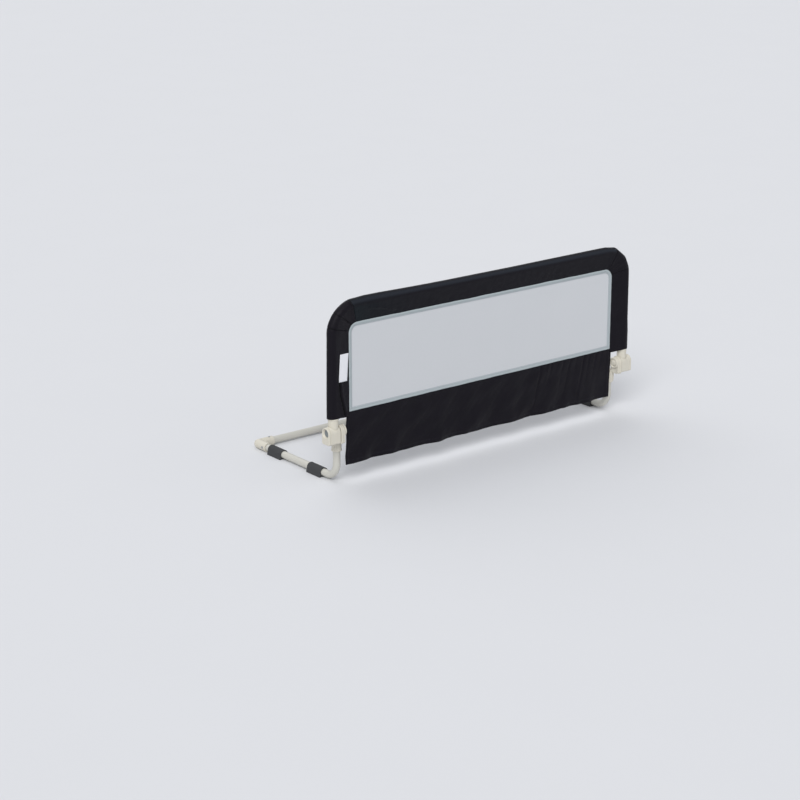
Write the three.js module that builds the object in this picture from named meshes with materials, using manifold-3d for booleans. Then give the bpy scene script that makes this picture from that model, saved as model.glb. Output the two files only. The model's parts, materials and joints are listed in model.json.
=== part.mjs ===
// Folding bed guard rail: a fabric-covered U of steel tube on two lockable hinges, with legs
// that turn and run under the mattress. Millimetres, X along the rail, -Y the outer side of
// the bed, +Y the mattress side, +Z up, z = 0 on the bed base.

import * as THREE from "three";
import { mergeVertices } from "three/addons/utils/BufferGeometryUtils.js";
import Module from "manifold-3d";

const wasm = await Module();
wasm.setup();

// Whole rail
const RAIL_LENGTH = 1060;
const SLEEVE_HEIGHT = 305.5;
const FOLD_LINE_HEIGHT = 150;
const ARM_REACH = 380;

// Clearances shared by all pieces
const FIT_GAP = 0.3;
const CUT_OVERRUN = 2;

// Tube of the upper frame
const TUBE_RADIUS = 11;
const TUBE_WALL = 1.2;
const TUBE_BEND_RADIUS = 75;
const TOP_JOINT_OFFSET = 300;
const SWAGE_LENGTH = 40;
const SWAGE_TAPER = 3;

// Fabric of the upper frame
const SLEEVE_SLACK = 0.9;
const SLEEVE_WALL = 1.8;
const SIDE_BORDER_WIDTH = 51.2;
const TOP_BORDER_WIDTH = 49;
const BORDER_THICKNESS = 3;
const BORDER_DROP = 4;
const CLOTH_TAPER_WIDTH = 48;
const CLOTH_SEAM_WIDTH = 4;
const CLOTH_SEAM_HALF = 0.4;
const WINDOW_DROP = 7.7;
const WINDOW_CORNER_RADIUS = 27;
const BINDING_WIDTH = 9.5;
const BINDING_THICKNESS = 3.6;
const NET_THICKNESS = 1;

// Skirt under the window
const SKIRT_DROP = 100;
const SKIRT_THICKNESS = 1.6;
const SKIRT_SIDE_GAP = 2.4;
const SKIRT_BACKSET = 6;
const SKIRT_FOLD_DEPTH = 3;
const SKIRT_FOLD_PITCH = 136;
const HEM_HEIGHT = 12;
const HEM_EXTRA = 0.5;

// Tag sewn to the left border
const TAG_WIDTH = 33;
const TAG_HEIGHT = 73;
const TAG_THICKNESS = 0.7;
const TAG_INSET = 30.4;
const TAG_CENTRE_HEIGHT = 130;
const TAG_LEAN_DEGREES = 5;

// Hinge, sizes around the fold line
const BOLT_RADIUS = 3;
const BOLT_HEAD_RADIUS = 5;
const BOLT_HEAD_HEIGHT = 3;
const PUSHER_RADIUS = 1.5;
const PUSHER_CLEARANCE = 0.5;
const PUSHER_COUNT = 2;
const PUSHER_STANDOFF = 1.5;
const TOOTH_COUNT = 12;
const TOOTH_DEPTH = 2;
const TOOTH_ROOT_SHARE = 0.5;
const TOOTH_TIP_SHARE = 0.33;
const BUTTON_RADIUS = 9.5;
const BUTTON_LEDGE = 1.7;
const BUTTON_WALL = 1.7;
const BUTTON_CROWN = 0.6;
const HOUSING_WALL = 3.4;
const HOUSING_DROP = 30;
const HOUSING_CORNER = 5;
const PLATE_RIM = 1.5;
const PLATE_DROP = 32;
const EDGE_BEVEL = 1.2;

// Hinge, sizes along the fold line
const HOUSING_INBOARD = 12.6;
const HOUSING_OUTBOARD = 18.5;
const COVER_THICKNESS = 6.5;
const COVER_SPIGOT = 0.4;
const COVER_DISH_WIDTH = 3.2;
const COVER_DISH_DEPTH = 5;
const HINGE_SPLIT = 2;
const PLATE_THICKNESS = 4;
const WEB_THICKNESS = 3;
const GEAR_THICKNESS = 8;
const GEAR_ENTRY = 3.3;
const GEAR_WEB = 2.2;
const TOOTH_RING_WIDTH = 5;
const BUTTON_FLANGE = 2;
const BUTTON_TRAVEL = 5.5;
const POCKET_FLOOR = 4.4;
const NUT_THICKNESS = 2.7;
const NUT_RADIUS = 5.6;
const NUT_SIDES = 6;
const BOLT_TIP = 0.6;
const CAP_WALL = 1.5;
const CAP_STRAIGHT = 1.2;

// Spring behind each lock gear
const SPRING_WIRE_RADIUS = 0.6;
const SPRING_TURNS = 4;

// Collar of the upper moulding
const COLLAR_HEIGHT = 38;
const COLLAR_WALL = 2.2;
const COLLAR_LIP = 0.8;
const COLLAR_LIP_HEIGHT = 5;
const SOCKET_FLOOR = 2.1;

// Screws through sockets into tubes
const SCREW_RADIUS = 1.7;
const SCREW_LENGTH = 6;
const SCREW_HEAD_RADIUS = 3.5;
const SCREW_HEAD_HEIGHT = 1.6;
const SCREW_SEAT_DEPTH = 0.9;
const SCREW_HEIGHT = 24;

// Rounding of bolt, screw and button heads
const HEAD_TOP_SHARE = 0.65;
const HEAD_EDGE_SHARE = 0.4;

// Legs and under-mattress arms
const LEG_TUBE_RADIUS = 10;
const LEG_TUBE_WALL = 1.2;
const LEG_BEND_RADIUS = 40;
const SOCKET_WALL = 2.7;
const SOCKET_LENGTH = 28;
const SOCKET_TOP_DROP = 34;
const SOCKET_DOME = 12;
const LEG_SETBACK = 11;
const LEG_SCREW_INSET = 12;

// Grip pads and the rear cross bar
const PAD_BASE_DEPTH = 3;
const PAD_HALF_WIDTH = 15;
const PAD_LENGTH = 60;
const FRONT_PAD_GAP = 16;
const REAR_PAD_GAP = 15;
const ELBOW_WALL = 2.4;
const ELBOW_LENGTH = 45;
const ELBOW_CORE = 14;
const ELBOW_RIM = 0.2;
const ELBOW_RIM_WIDTH = 6;
const ARM_SCREW_INSET = 12;

// Snap buttons that lock plugged tubes
const SNAP_RADIUS = 3;
const SNAP_FLANGE = 1.2;
const SNAP_FLANGE_THICKNESS = 0.8;
const SNAP_PROUD = 0.7;
const SNAP_BAR_PROUD = 1;
const SNAP_INSET = 20;
const BAR_SNAP_INSET = 10.7;
const SNAP_LEAF_THICKNESS = 0.6;
const SNAP_LEAF_WIDTH = 6;
const SNAP_LEAF_REACH = 16;
const SNAP_LEAF_SPREAD = 2.4;

// How finely round shapes are cut
const TUBE_SIDES = 12;
const ROUND_SIDES = 16;
const SMALL_SIDES = 8;
const BEND_STEPS = 6;
const ARC_STEPS = 4;
const DOME_STEPS = 3;
const SPRING_STEPS = 7;
const SPRING_SIDES = 4;
const SKIRT_COLUMNS = 32;
const SKIRT_ROWS = 3;
const RIGHT = 1;
const LEFT = -1;

// Radii that follow from the sizes above
const sleeveInnerRadius = TUBE_RADIUS + SLEEVE_SLACK;
const sleeveRadius = sleeveInnerRadius + SLEEVE_WALL;
const tubeLineX = RAIL_LENGTH / 2 - sleeveRadius;
const collarBore = TUBE_RADIUS + FIT_GAP;
const collarRadius = collarBore + COLLAR_WALL;
const boltHole = BOLT_RADIUS + FIT_GAP;
const pusherCircle = BOLT_HEAD_RADIUS + PUSHER_STANDOFF + PUSHER_RADIUS;
const gearRootRadius = pusherCircle + PUSHER_RADIUS + PUSHER_CLEARANCE;
const gearTipRadius = gearRootRadius + TOOTH_DEPTH;
const counterboreRadius = gearTipRadius + 2 * FIT_GAP;
const housingRadius = counterboreRadius + HOUSING_WALL;
const plateRadius = housingRadius + PLATE_RIM;
const buttonFlangeRadius = BUTTON_RADIUS + BUTTON_LEDGE;
const chamberRadius = buttonFlangeRadius + FIT_GAP;
const buttonHollowRadius = BOLT_HEAD_RADIUS + PUSHER_STANDOFF + PUSHER_CLEARANCE;
const springRadius = BOLT_RADIUS + 2 * FIT_GAP + 2 * SPRING_WIRE_RADIUS + FIT_GAP;
const gearRecessRadius = springRadius + SPRING_WIRE_RADIUS + 2 * FIT_GAP;
const socketBore = LEG_TUBE_RADIUS + FIT_GAP;
const socketRadius = socketBore + SOCKET_WALL;
const elbowRadius = socketBore + ELBOW_WALL;

// Places along the fold line, outward from the upright's centre line
const coverInner = HOUSING_OUTBOARD + FIT_GAP;
const coverOuter = coverInner + COVER_THICKNESS;
const flangeOuter = HOUSING_OUTBOARD - COVER_SPIGOT - FIT_GAP;
const flangeInner = flangeOuter - BUTTON_FLANGE;
const webOuter = flangeInner - BUTTON_TRAVEL - FIT_GAP;
const webInner = webOuter - WEB_THICKNESS;
const boltHeadOuter = webOuter + FIT_GAP + BOLT_HEAD_HEIGHT;
const buttonRoof = boltHeadOuter + BUTTON_TRAVEL + FIT_GAP;
const gearOuter = GEAR_ENTRY - HOUSING_INBOARD;
const gearInner = gearOuter - GEAR_THICKNESS;
const toothRingInner = gearOuter + FIT_GAP;
const toothRingOuter = toothRingInner + TOOTH_RING_WIDTH;
const plateOuter = -HOUSING_INBOARD - HINGE_SPLIT;
const plateInner = plateOuter - PLATE_THICKNESS;
const pocketEnd = gearInner - BUTTON_TRAVEL - FIT_GAP;
const bracketInner = pocketEnd - POCKET_FLOOR;
const nutOuter = bracketInner - FIT_GAP;
const nutInner = nutOuter - NUT_THICKNESS;
const boltEnd = nutInner - BOLT_TIP;
const capRoof = boltEnd - FIT_GAP;

// Places above and behind the fold line
const socketFloorZ = counterboreRadius + SOCKET_FLOOR;
const tubeEndZ = socketFloorZ + FIT_GAP;
const sleeveBottomZ = COLLAR_HEIGHT + FIT_GAP;
const tubeTopZ = sleeveBottomZ + SLEEVE_HEIGHT - sleeveRadius;
const windowHalf = tubeLineX - SIDE_BORDER_WIDTH;
const windowBottomZ = sleeveBottomZ + WINDOW_DROP;
const windowTopZ = tubeTopZ - TOP_BORDER_WIDTH;
const legLineX = tubeLineX + plateOuter - socketRadius;
const legLineY = socketRadius + LEG_SETBACK;
const skirtHalf = legLineX - socketRadius - SKIRT_SIDE_GAP;
const skirtTopZ = windowBottomZ - FIT_GAP;
const armZ = LEG_TUBE_RADIUS + PAD_BASE_DEPTH - FOLD_LINE_HEIGHT;
const legTopZ = -SOCKET_TOP_DROP - FIT_GAP;
const frontPadY = legLineY + LEG_BEND_RADIUS + FRONT_PAD_GAP + PAD_LENGTH / 2;
const rearPadY = ARM_REACH - ELBOW_LENGTH - REAR_PAD_GAP - PAD_LENGTH / 2;
const socketBottomZ = -SOCKET_TOP_DROP - SOCKET_LENGTH;
const foldLineY = (plateRadius - ARM_REACH - elbowRadius) / 2;

const swageRadius = TUBE_RADIUS - TUBE_WALL - FIT_GAP;
const swageInnerRadius = swageRadius - TUBE_WALL;
const barInnerRadius = LEG_TUBE_RADIUS - LEG_TUBE_WALL;
const barEnd = legLineX - ELBOW_CORE - FIT_GAP;
const barSnapX = legLineX - ELBOW_LENGTH + BAR_SNAP_INSET;
const topSnapX = TOP_JOINT_OFFSET + SNAP_INSET;
const topSnapTop = TUBE_RADIUS + SNAP_PROUD;
const barSnapTop = elbowRadius + SNAP_BAR_PROUD;

// A path whose sections stand at chosen stations, so straight runs stay undivided.
class StationPath extends THREE.Curve {
  constructor(stations) {
    super();
    this.stations = stations;
  }

  station(u) {
    return this.stations[Math.round(u * (this.stations.length - 1))];
  }

  getPointAt(u, target = new THREE.Vector3()) {
    return target.copy(this.station(u).point);
  }

  getTangentAt(u, target = new THREE.Vector3()) {
    return target.copy(this.station(u).tangent);
  }
}

// Joins straight runs with round right-angle bends.
function bentPath(corners, bendRadius) {
  const stations = [];
  const heading = (i) => corners[i + 1].clone().sub(corners[i]).normalize();
  stations.push({ point: corners[0], tangent: heading(0) });
  for (let i = 1; i < corners.length - 1; i++) {
    const before = heading(i - 1);
    const after = heading(i);
    const start = corners[i].clone().addScaledVector(before, -bendRadius);
    for (let k = 0; k <= BEND_STEPS; k++) {
      const angle = (k / BEND_STEPS) * (Math.PI / 2);
      const point = start.clone();
      point.addScaledVector(before, bendRadius * Math.sin(angle));
      point.addScaledVector(after, bendRadius * (1 - Math.cos(angle)));
      const tangent = before.clone().multiplyScalar(Math.cos(angle));
      tangent.addScaledVector(after, Math.sin(angle));
      stations.push({ point, tangent });
    }
  }
  stations.push({ point: corners[corners.length - 1], tangent: heading(corners.length - 2) });
  return new StationPath(stations);
}

// Flips a mesh whose faces point inwards.
function facedOutward(geometry) {
  const index = geometry.index;
  const position = geometry.attributes.position;
  const a = new THREE.Vector3();
  const b = new THREE.Vector3();
  const c = new THREE.Vector3();
  let volume = 0;
  for (let i = 0; i < index.count; i += 3) {
    a.fromBufferAttribute(position, index.getX(i));
    b.fromBufferAttribute(position, index.getX(i + 1));
    c.fromBufferAttribute(position, index.getX(i + 2));
    volume += a.dot(b.cross(c));
  }
  if (volume < 0) {
    for (let i = 0; i < index.count; i += 3) {
      const first = index.getX(i);
      index.setX(i, index.getX(i + 1));
      index.setX(i + 1, first);
    }
  }
  return geometry;
}

function closedMesh(geometry) {
  const bare = geometry.clone();
  bare.deleteAttribute("normal");
  bare.deleteAttribute("uv");
  return facedOutward(mergeVertices(bare));
}

function solidOf(geometry) {
  const mesh = closedMesh(geometry);
  return new wasm.Manifold(new wasm.Mesh({
    numProp: 3,
    vertProperties: new Float32Array(mesh.attributes.position.array),
    triVerts: new Uint32Array(mesh.index.array),
  }));
}

function geometryOf(solid) {
  const mesh = solid.getMesh();
  const geometry = new THREE.BufferGeometry();
  geometry.setAttribute("position", new THREE.BufferAttribute(mesh.vertProperties, 3));
  geometry.setIndex(new THREE.BufferAttribute(mesh.triVerts, 1));
  return geometry;
}

// Joins the first list of geometries and cuts away the second.
function carved(joined, removed = []) {
  let solid = solidOf(joined[0]);
  for (const geometry of joined.slice(1)) {
    solid = solid.add(solidOf(geometry));
  }
  for (const geometry of removed) {
    solid = solid.subtract(solidOf(geometry));
  }
  return geometryOf(solid);
}

// The same piece for the other end of the rail.
function handed(geometry, side) {
  if (side === RIGHT) {
    return geometry;
  }
  const mirrored = geometry.index ? geometry.clone() : mergeVertices(geometry.clone());
  mirrored.scale(-1, 1, 1);
  return facedOutward(mirrored);
}

function extruded(outline, depth, bevel = 0) {
  return new THREE.ExtrudeGeometry(outline, {
    depth: depth - 2 * bevel,
    bevelEnabled: bevel > 0,
    bevelThickness: bevel,
    bevelSize: bevel,
    bevelOffset: -bevel,
    bevelSegments: 1,
    curveSegments: ARC_STEPS,
  });
}

// Extrudes an outline drawn in Y and Z along X.
function prismX(outline, from, to, bevel = 0) {
  const geometry = extruded(outline, to - from, bevel);
  const y = new THREE.Vector3(0, 1, 0);
  const z = new THREE.Vector3(0, 0, 1);
  const x = new THREE.Vector3(1, 0, 0);
  geometry.applyMatrix4(new THREE.Matrix4().makeBasis(y, z, x));
  return geometry.translate(from + bevel, 0, 0);
}

// Extrudes an outline drawn in X and Z along Y.
function prismY(outline, from, to) {
  const geometry = extruded(outline, to - from);
  return geometry.rotateX(Math.PI / 2).translate(0, to, 0);
}

function turnedX(profile, sides = ROUND_SIDES) {
  return new THREE.LatheGeometry(profile, sides).rotateZ(-Math.PI / 2);
}

function turnedZ(profile, sides = ROUND_SIDES) {
  return new THREE.LatheGeometry(profile, sides).rotateX(Math.PI / 2);
}

// A profile point: distance from the axis, then place along it.
function at(radius, along) {
  return new THREE.Vector2(radius, along);
}

function rodProfile(radius, from, to) {
  return [at(0, from), at(radius, from), at(radius, to), at(0, to)];
}

function rodX(radius, from, to, sides = ROUND_SIDES) {
  return turnedX(rodProfile(radius, from, to), sides);
}

function rodY(radius, from, to, sides = ROUND_SIDES) {
  return new THREE.LatheGeometry(rodProfile(radius, from, to), sides);
}

function rodZ(radius, from, to, sides = ROUND_SIDES) {
  return turnedZ(rodProfile(radius, from, to), sides);
}

function circleOutline(radius, sides) {
  const points = [];
  for (let i = 0; i < sides; i++) {
    const angle = (i / sides) * 2 * Math.PI;
    points.push(new THREE.Vector2(radius * Math.cos(angle), radius * Math.sin(angle)));
  }
  return points;
}

function sweptTube(radius, wall, path) {
  const outline = new THREE.Shape(circleOutline(radius, TUBE_SIDES));
  outline.holes.push(new THREE.Path(circleOutline(radius - wall, TUBE_SIDES)));
  const steps = path.stations.length - 1;
  return new THREE.ExtrudeGeometry(outline, { steps, extrudePath: path });
}

// An arch round the fold line with straight sides below it.
function archOutline(radius, drop, corner) {
  const outline = new THREE.Shape();
  outline.moveTo(radius, corner - drop);
  outline.lineTo(radius, 0);
  outline.absarc(0, 0, radius, 0, Math.PI, false);
  outline.lineTo(-radius, corner - drop);
  outline.absarc(corner - radius, corner - drop, corner, Math.PI, 1.5 * Math.PI, false);
  outline.lineTo(radius - corner, -drop);
  outline.absarc(radius - corner, corner - drop, corner, 1.5 * Math.PI, 2 * Math.PI, false);
  return outline;
}

// Straight-sided teeth; spread widens them for the ring that the gear slides in.
function toothOutline(spread) {
  const points = [];
  const pitch = (2 * Math.PI) / TOOTH_COUNT;
  const rootRadius = gearRootRadius + spread;
  const tipRadius = gearTipRadius + spread;
  const rootHalf = (TOOTH_ROOT_SHARE * pitch) / 2 + spread / gearRootRadius;
  const tipHalf = (TOOTH_TIP_SHARE * pitch) / 2 + spread / gearRootRadius;
  for (let i = 0; i < TOOTH_COUNT; i++) {
    const middle = i * pitch;
    const corners = [
      [rootRadius, -rootHalf],
      [tipRadius, -tipHalf],
      [tipRadius, tipHalf],
      [rootRadius, rootHalf],
    ];
    for (const [radius, offset] of corners) {
      const angle = middle + offset;
      points.push(new THREE.Vector2(radius * Math.cos(angle), radius * Math.sin(angle)));
    }
  }
  return new THREE.Shape(points);
}

function uprightTube() {
  const path = bentPath([
    new THREE.Vector3(tubeLineX, 0, tubeEndZ),
    new THREE.Vector3(tubeLineX, 0, tubeTopZ),
    new THREE.Vector3(TOP_JOINT_OFFSET, 0, tubeTopZ),
  ], TUBE_BEND_RADIUS);
  const screwHole = rodY(SCREW_RADIUS + FIT_GAP, 0, TUBE_RADIUS + CUT_OVERRUN, SMALL_SIDES);
  screwHole.translate(tubeLineX, 0, SCREW_HEIGHT);
  const snapHole = rodY(SNAP_RADIUS + FIT_GAP, 0, TUBE_RADIUS + CUT_OVERRUN, SMALL_SIDES);
  snapHole.translate(topSnapX, 0, tubeTopZ);
  return carved([sweptTube(TUBE_RADIUS, TUBE_WALL, path)], [screwHole, snapHole]);
}

function topMiddleTube() {
  const shoulder = TOP_JOINT_OFFSET - FIT_GAP;
  const end = TOP_JOINT_OFFSET + SWAGE_LENGTH;
  const innerRadius = TUBE_RADIUS - TUBE_WALL;
  const tube = turnedX([
    at(swageRadius, -end),
    at(swageRadius, -shoulder),
    at(TUBE_RADIUS, -shoulder),
    at(TUBE_RADIUS, shoulder),
    at(swageRadius, shoulder),
    at(swageRadius, end),
    at(swageInnerRadius, end),
    at(swageInnerRadius, shoulder - SWAGE_TAPER),
    at(innerRadius, shoulder - 2 * SWAGE_TAPER),
    at(innerRadius, 2 * SWAGE_TAPER - shoulder),
    at(swageInnerRadius, SWAGE_TAPER - shoulder),
    at(swageInnerRadius, -end),
    at(swageRadius, -end),
  ], TUBE_SIDES);
  const holes = [LEFT, RIGHT].map((side) => {
    const hole = rodY(SNAP_RADIUS + FIT_GAP, 0, TUBE_RADIUS + CUT_OVERRUN, SMALL_SIDES);
    return hole.translate(side * topSnapX, 0, 0);
  });
  return carved([tube], holes);
}

// Half the height of the flat place that a disc of this radius finds inside a round tube.
function seatInside(tubeInnerRadius, discRadius) {
  return Math.sqrt(tubeInnerRadius ** 2 - discRadius ** 2);
}

function snapFlangeTop(tubeInnerRadius) {
  return seatInside(tubeInnerRadius, SNAP_RADIUS + SNAP_FLANGE) - FIT_GAP;
}

// Head of a snap button, standing on the tube's axis and pointing up.
function snapButton(tubeInnerRadius, top) {
  const flangeTop = snapFlangeTop(tubeInnerRadius);
  const flangeBottom = flangeTop - SNAP_FLANGE_THICKNESS;
  return closedMesh(turnedZ([
    at(0, flangeBottom),
    at(SNAP_RADIUS + SNAP_FLANGE, flangeBottom),
    at(SNAP_RADIUS + SNAP_FLANGE, flangeTop),
    at(SNAP_RADIUS, flangeTop),
    at(SNAP_RADIUS, top - SNAP_PROUD),
    at(SNAP_RADIUS * HEAD_TOP_SHARE, top - SNAP_PROUD * (1 - HEAD_EDGE_SHARE)),
    at(0, top),
  ], SMALL_SIDES));
}

// Leaf spring bent back on itself: one leaf under the head, one on the far wall.
function snapSpring(tubeInnerRadius) {
  const headLeaf = snapFlangeTop(tubeInnerRadius) - SNAP_FLANGE_THICKNESS - FIT_GAP;
  const wallLeaf = FIT_GAP - seatInside(tubeInnerRadius, SNAP_LEAF_WIDTH / 2);
  const start = -SNAP_RADIUS - SNAP_FLANGE;
  const outer = SNAP_LEAF_SPREAD;
  const inner = outer - SNAP_LEAF_THICKNESS;
  const outline = new THREE.Shape();
  outline.moveTo(start, headLeaf);
  outline.lineTo(SNAP_LEAF_REACH, outer);
  outline.absarc(SNAP_LEAF_REACH, 0, outer, Math.PI / 2, -Math.PI / 2, true);
  outline.lineTo(start, wallLeaf);
  outline.lineTo(start, wallLeaf + SNAP_LEAF_THICKNESS);
  outline.lineTo(SNAP_LEAF_REACH, -inner);
  outline.absarc(SNAP_LEAF_REACH, 0, inner, -Math.PI / 2, Math.PI / 2, false);
  outline.lineTo(start, headLeaf - SNAP_LEAF_THICKNESS);
  return closedMesh(prismY(outline, -SNAP_LEAF_WIDTH / 2, SNAP_LEAF_WIDTH / 2));
}

// Angle on a circle where a straight line from a point beside the seam touches it.
function touchAngle(radius, half, reach) {
  return Math.atan2(reach, half) - Math.acos(radius / Math.hypot(half, reach));
}

// Section of the cloth: round behind the tube, then two straight sides that close on a seam.
function clothSection(radius, half, reach) {
  const touch = touchAngle(radius, half, reach);
  const sweep = Math.PI + 2 * touch;
  const points = [new THREE.Vector2(half, reach)];
  for (let i = 0; i <= TUBE_SIDES; i++) {
    const angle = touch - (i / TUBE_SIDES) * sweep;
    points.push(new THREE.Vector2(radius * Math.cos(angle), radius * Math.sin(angle)));
  }
  points.push(new THREE.Vector2(-half, reach));
  return new THREE.Shape(points);
}

// Angle between the rail's middle plane and the cloth's front face.
function clothLean() {
  return touchAngle(sleeveRadius, BORDER_THICKNESS / 2, CLOTH_TAPER_WIDTH);
}

// How far the front face stands off the middle plane, inboard of the tube's line.
function clothHalf(inboard) {
  return BORDER_THICKNESS / 2 + (CLOTH_TAPER_WIDTH - inboard) * Math.tan(clothLean());
}

function clothRun(section, overrun) {
  const path = bentPath([
    new THREE.Vector3(-tubeLineX, 0, sleeveBottomZ - overrun),
    new THREE.Vector3(-tubeLineX, 0, tubeTopZ),
    new THREE.Vector3(tubeLineX, 0, tubeTopZ),
    new THREE.Vector3(tubeLineX, 0, sleeveBottomZ - overrun),
  ], TUBE_BEND_RADIUS);
  return new THREE.ExtrudeGeometry(section, { steps: path.stations.length - 1, extrudePath: path });
}

// Lower edges and window edge of the border, from the left tube round to the right one.
function borderInnerEdge() {
  const corner = WINDOW_CORNER_RADIUS;
  const notch = skirtHalf + FIT_GAP;
  const outline = new THREE.Shape();
  outline.moveTo(-tubeLineX, sleeveBottomZ);
  outline.lineTo(-notch, sleeveBottomZ - BORDER_DROP);
  outline.lineTo(-notch, windowBottomZ);
  outline.lineTo(-windowHalf, windowBottomZ);
  outline.lineTo(-windowHalf, windowTopZ - corner);
  outline.absarc(corner - windowHalf, windowTopZ - corner, corner, Math.PI, Math.PI / 2, true);
  outline.lineTo(windowHalf - corner, windowTopZ);
  outline.absarc(windowHalf - corner, windowTopZ - corner, corner, Math.PI / 2, 0, true);
  outline.lineTo(windowHalf, windowBottomZ);
  outline.lineTo(notch, windowBottomZ);
  outline.lineTo(notch, sleeveBottomZ - BORDER_DROP);
  outline.lineTo(tubeLineX, sleeveBottomZ);
  return outline;
}

// Cloth round the tube that closes on a flat seam at the net window.
function fabricBorder() {
  const bend = TUBE_BEND_RADIUS;
  const flat = borderInnerEdge();
  flat.lineTo(tubeLineX, tubeTopZ - bend);
  flat.absarc(tubeLineX - bend, tubeTopZ - bend, bend, 0, Math.PI / 2, false);
  flat.lineTo(bend - tubeLineX, tubeTopZ);
  flat.absarc(bend - tubeLineX, tubeTopZ - bend, bend, Math.PI / 2, Math.PI, false);
  const outside = tubeLineX + 2 * sleeveRadius;
  const above = tubeTopZ + 2 * sleeveRadius;
  const trim = borderInnerEdge();
  trim.lineTo(outside, sleeveBottomZ);
  trim.lineTo(outside, above);
  trim.lineTo(-outside, above);
  trim.lineTo(-outside, sleeveBottomZ);
  const outer = clothSection(sleeveRadius, BORDER_THICKNESS / 2, CLOTH_TAPER_WIDTH);
  const inner = clothSection(sleeveInnerRadius, CLOTH_SEAM_HALF, CLOTH_TAPER_WIDTH - CLOTH_SEAM_WIDTH);
  const sheet = solidOf(prismY(flat, -BORDER_THICKNESS / 2, BORDER_THICKNESS / 2));
  const whole = solidOf(clothRun(outer, 0)).add(sheet);
  const trimmed = whole.intersect(solidOf(prismY(trim, -2 * sleeveRadius, 2 * sleeveRadius)));
  return geometryOf(trimmed.subtract(solidOf(clothRun(inner, CUT_OVERRUN))));
}

// Window outline drawn inwards from the border's inner edge.
function windowOutline(inset, Kind = THREE.Shape) {
  const half = windowHalf - inset;
  const top = windowTopZ - inset;
  const bottom = windowBottomZ + inset;
  const corner = WINDOW_CORNER_RADIUS - inset;
  const outline = new Kind();
  outline.moveTo(-half, bottom);
  outline.lineTo(half, bottom);
  outline.lineTo(half, top - corner);
  outline.absarc(half - corner, top - corner, corner, 0, Math.PI / 2, false);
  outline.lineTo(corner - half, top);
  outline.absarc(corner - half, top - corner, corner, Math.PI / 2, Math.PI, false);
  return outline;
}

function windowBinding() {
  const outline = windowOutline(FIT_GAP);
  outline.holes.push(windowOutline(FIT_GAP + BINDING_WIDTH, THREE.Path));
  return closedMesh(prismY(outline, -BINDING_THICKNESS / 2, BINDING_THICKNESS / 2));
}

function windowNet() {
  const outline = windowOutline(2 * FIT_GAP + BINDING_WIDTH);
  return closedMesh(prismY(outline, -NET_THICKNESS / 2, NET_THICKNESS / 2));
}

// Hanging cloth: flat where it is sewn on, with soft upright folds lower down and a hem.
function skirt() {
  const bottom = -SKIRT_DROP;
  const rows = [];
  for (let i = 0; i <= SKIRT_ROWS; i++) {
    rows.push(skirtTopZ + (bottom + HEM_HEIGHT - skirtTopZ) * (i / SKIRT_ROWS));
  }
  rows.push(bottom);
  const positions = [];
  for (const face of [-1, 1]) {
    rows.forEach((z, row) => {
      const share = (skirtTopZ - z) / (skirtTopZ - bottom);
      const half = SKIRT_THICKNESS / 2 + (row > SKIRT_ROWS - 1 ? HEM_EXTRA : 0);
      for (let column = 0; column <= SKIRT_COLUMNS; column++) {
        const x = skirtHalf * ((2 * column) / SKIRT_COLUMNS - 1);
        const wave = Math.sin((2 * Math.PI * x) / SKIRT_FOLD_PITCH);
        const y = share * (SKIRT_BACKSET + SKIRT_FOLD_DEPTH * wave);
        positions.push(x, y + face * half, z);
      }
    });
  }
  const width = SKIRT_COLUMNS + 1;
  const height = rows.length;
  const back = width * height;
  const index = [];
  const quad = (a, b, c, d) => index.push(a, b, c, a, c, d);
  for (let row = 0; row < height - 1; row++) {
    for (let column = 0; column < width - 1; column++) {
      const corner = row * width + column;
      quad(corner, corner + width, corner + width + 1, corner + 1);
      quad(back + corner, back + corner + 1, back + corner + width + 1, back + corner + width);
    }
    const left = row * width;
    const right = left + width - 1;
    quad(left, back + left, back + left + width, left + width);
    quad(right, right + width, back + right + width, back + right);
  }
  for (let column = 0; column < width - 1; column++) {
    const lower = (height - 1) * width + column;
    quad(column, column + 1, back + column + 1, back + column);
    quad(lower, back + lower, back + lower + 1, lower + 1);
  }
  const geometry = new THREE.BufferGeometry();
  geometry.setAttribute("position", new THREE.Float32BufferAttribute(positions, 3));
  geometry.setIndex(index);
  return facedOutward(geometry);
}

function blankTag() {
  return closedMesh(new THREE.BoxGeometry(TAG_WIDTH, TAG_THICKNESS, TAG_HEIGHT));
}

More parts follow.
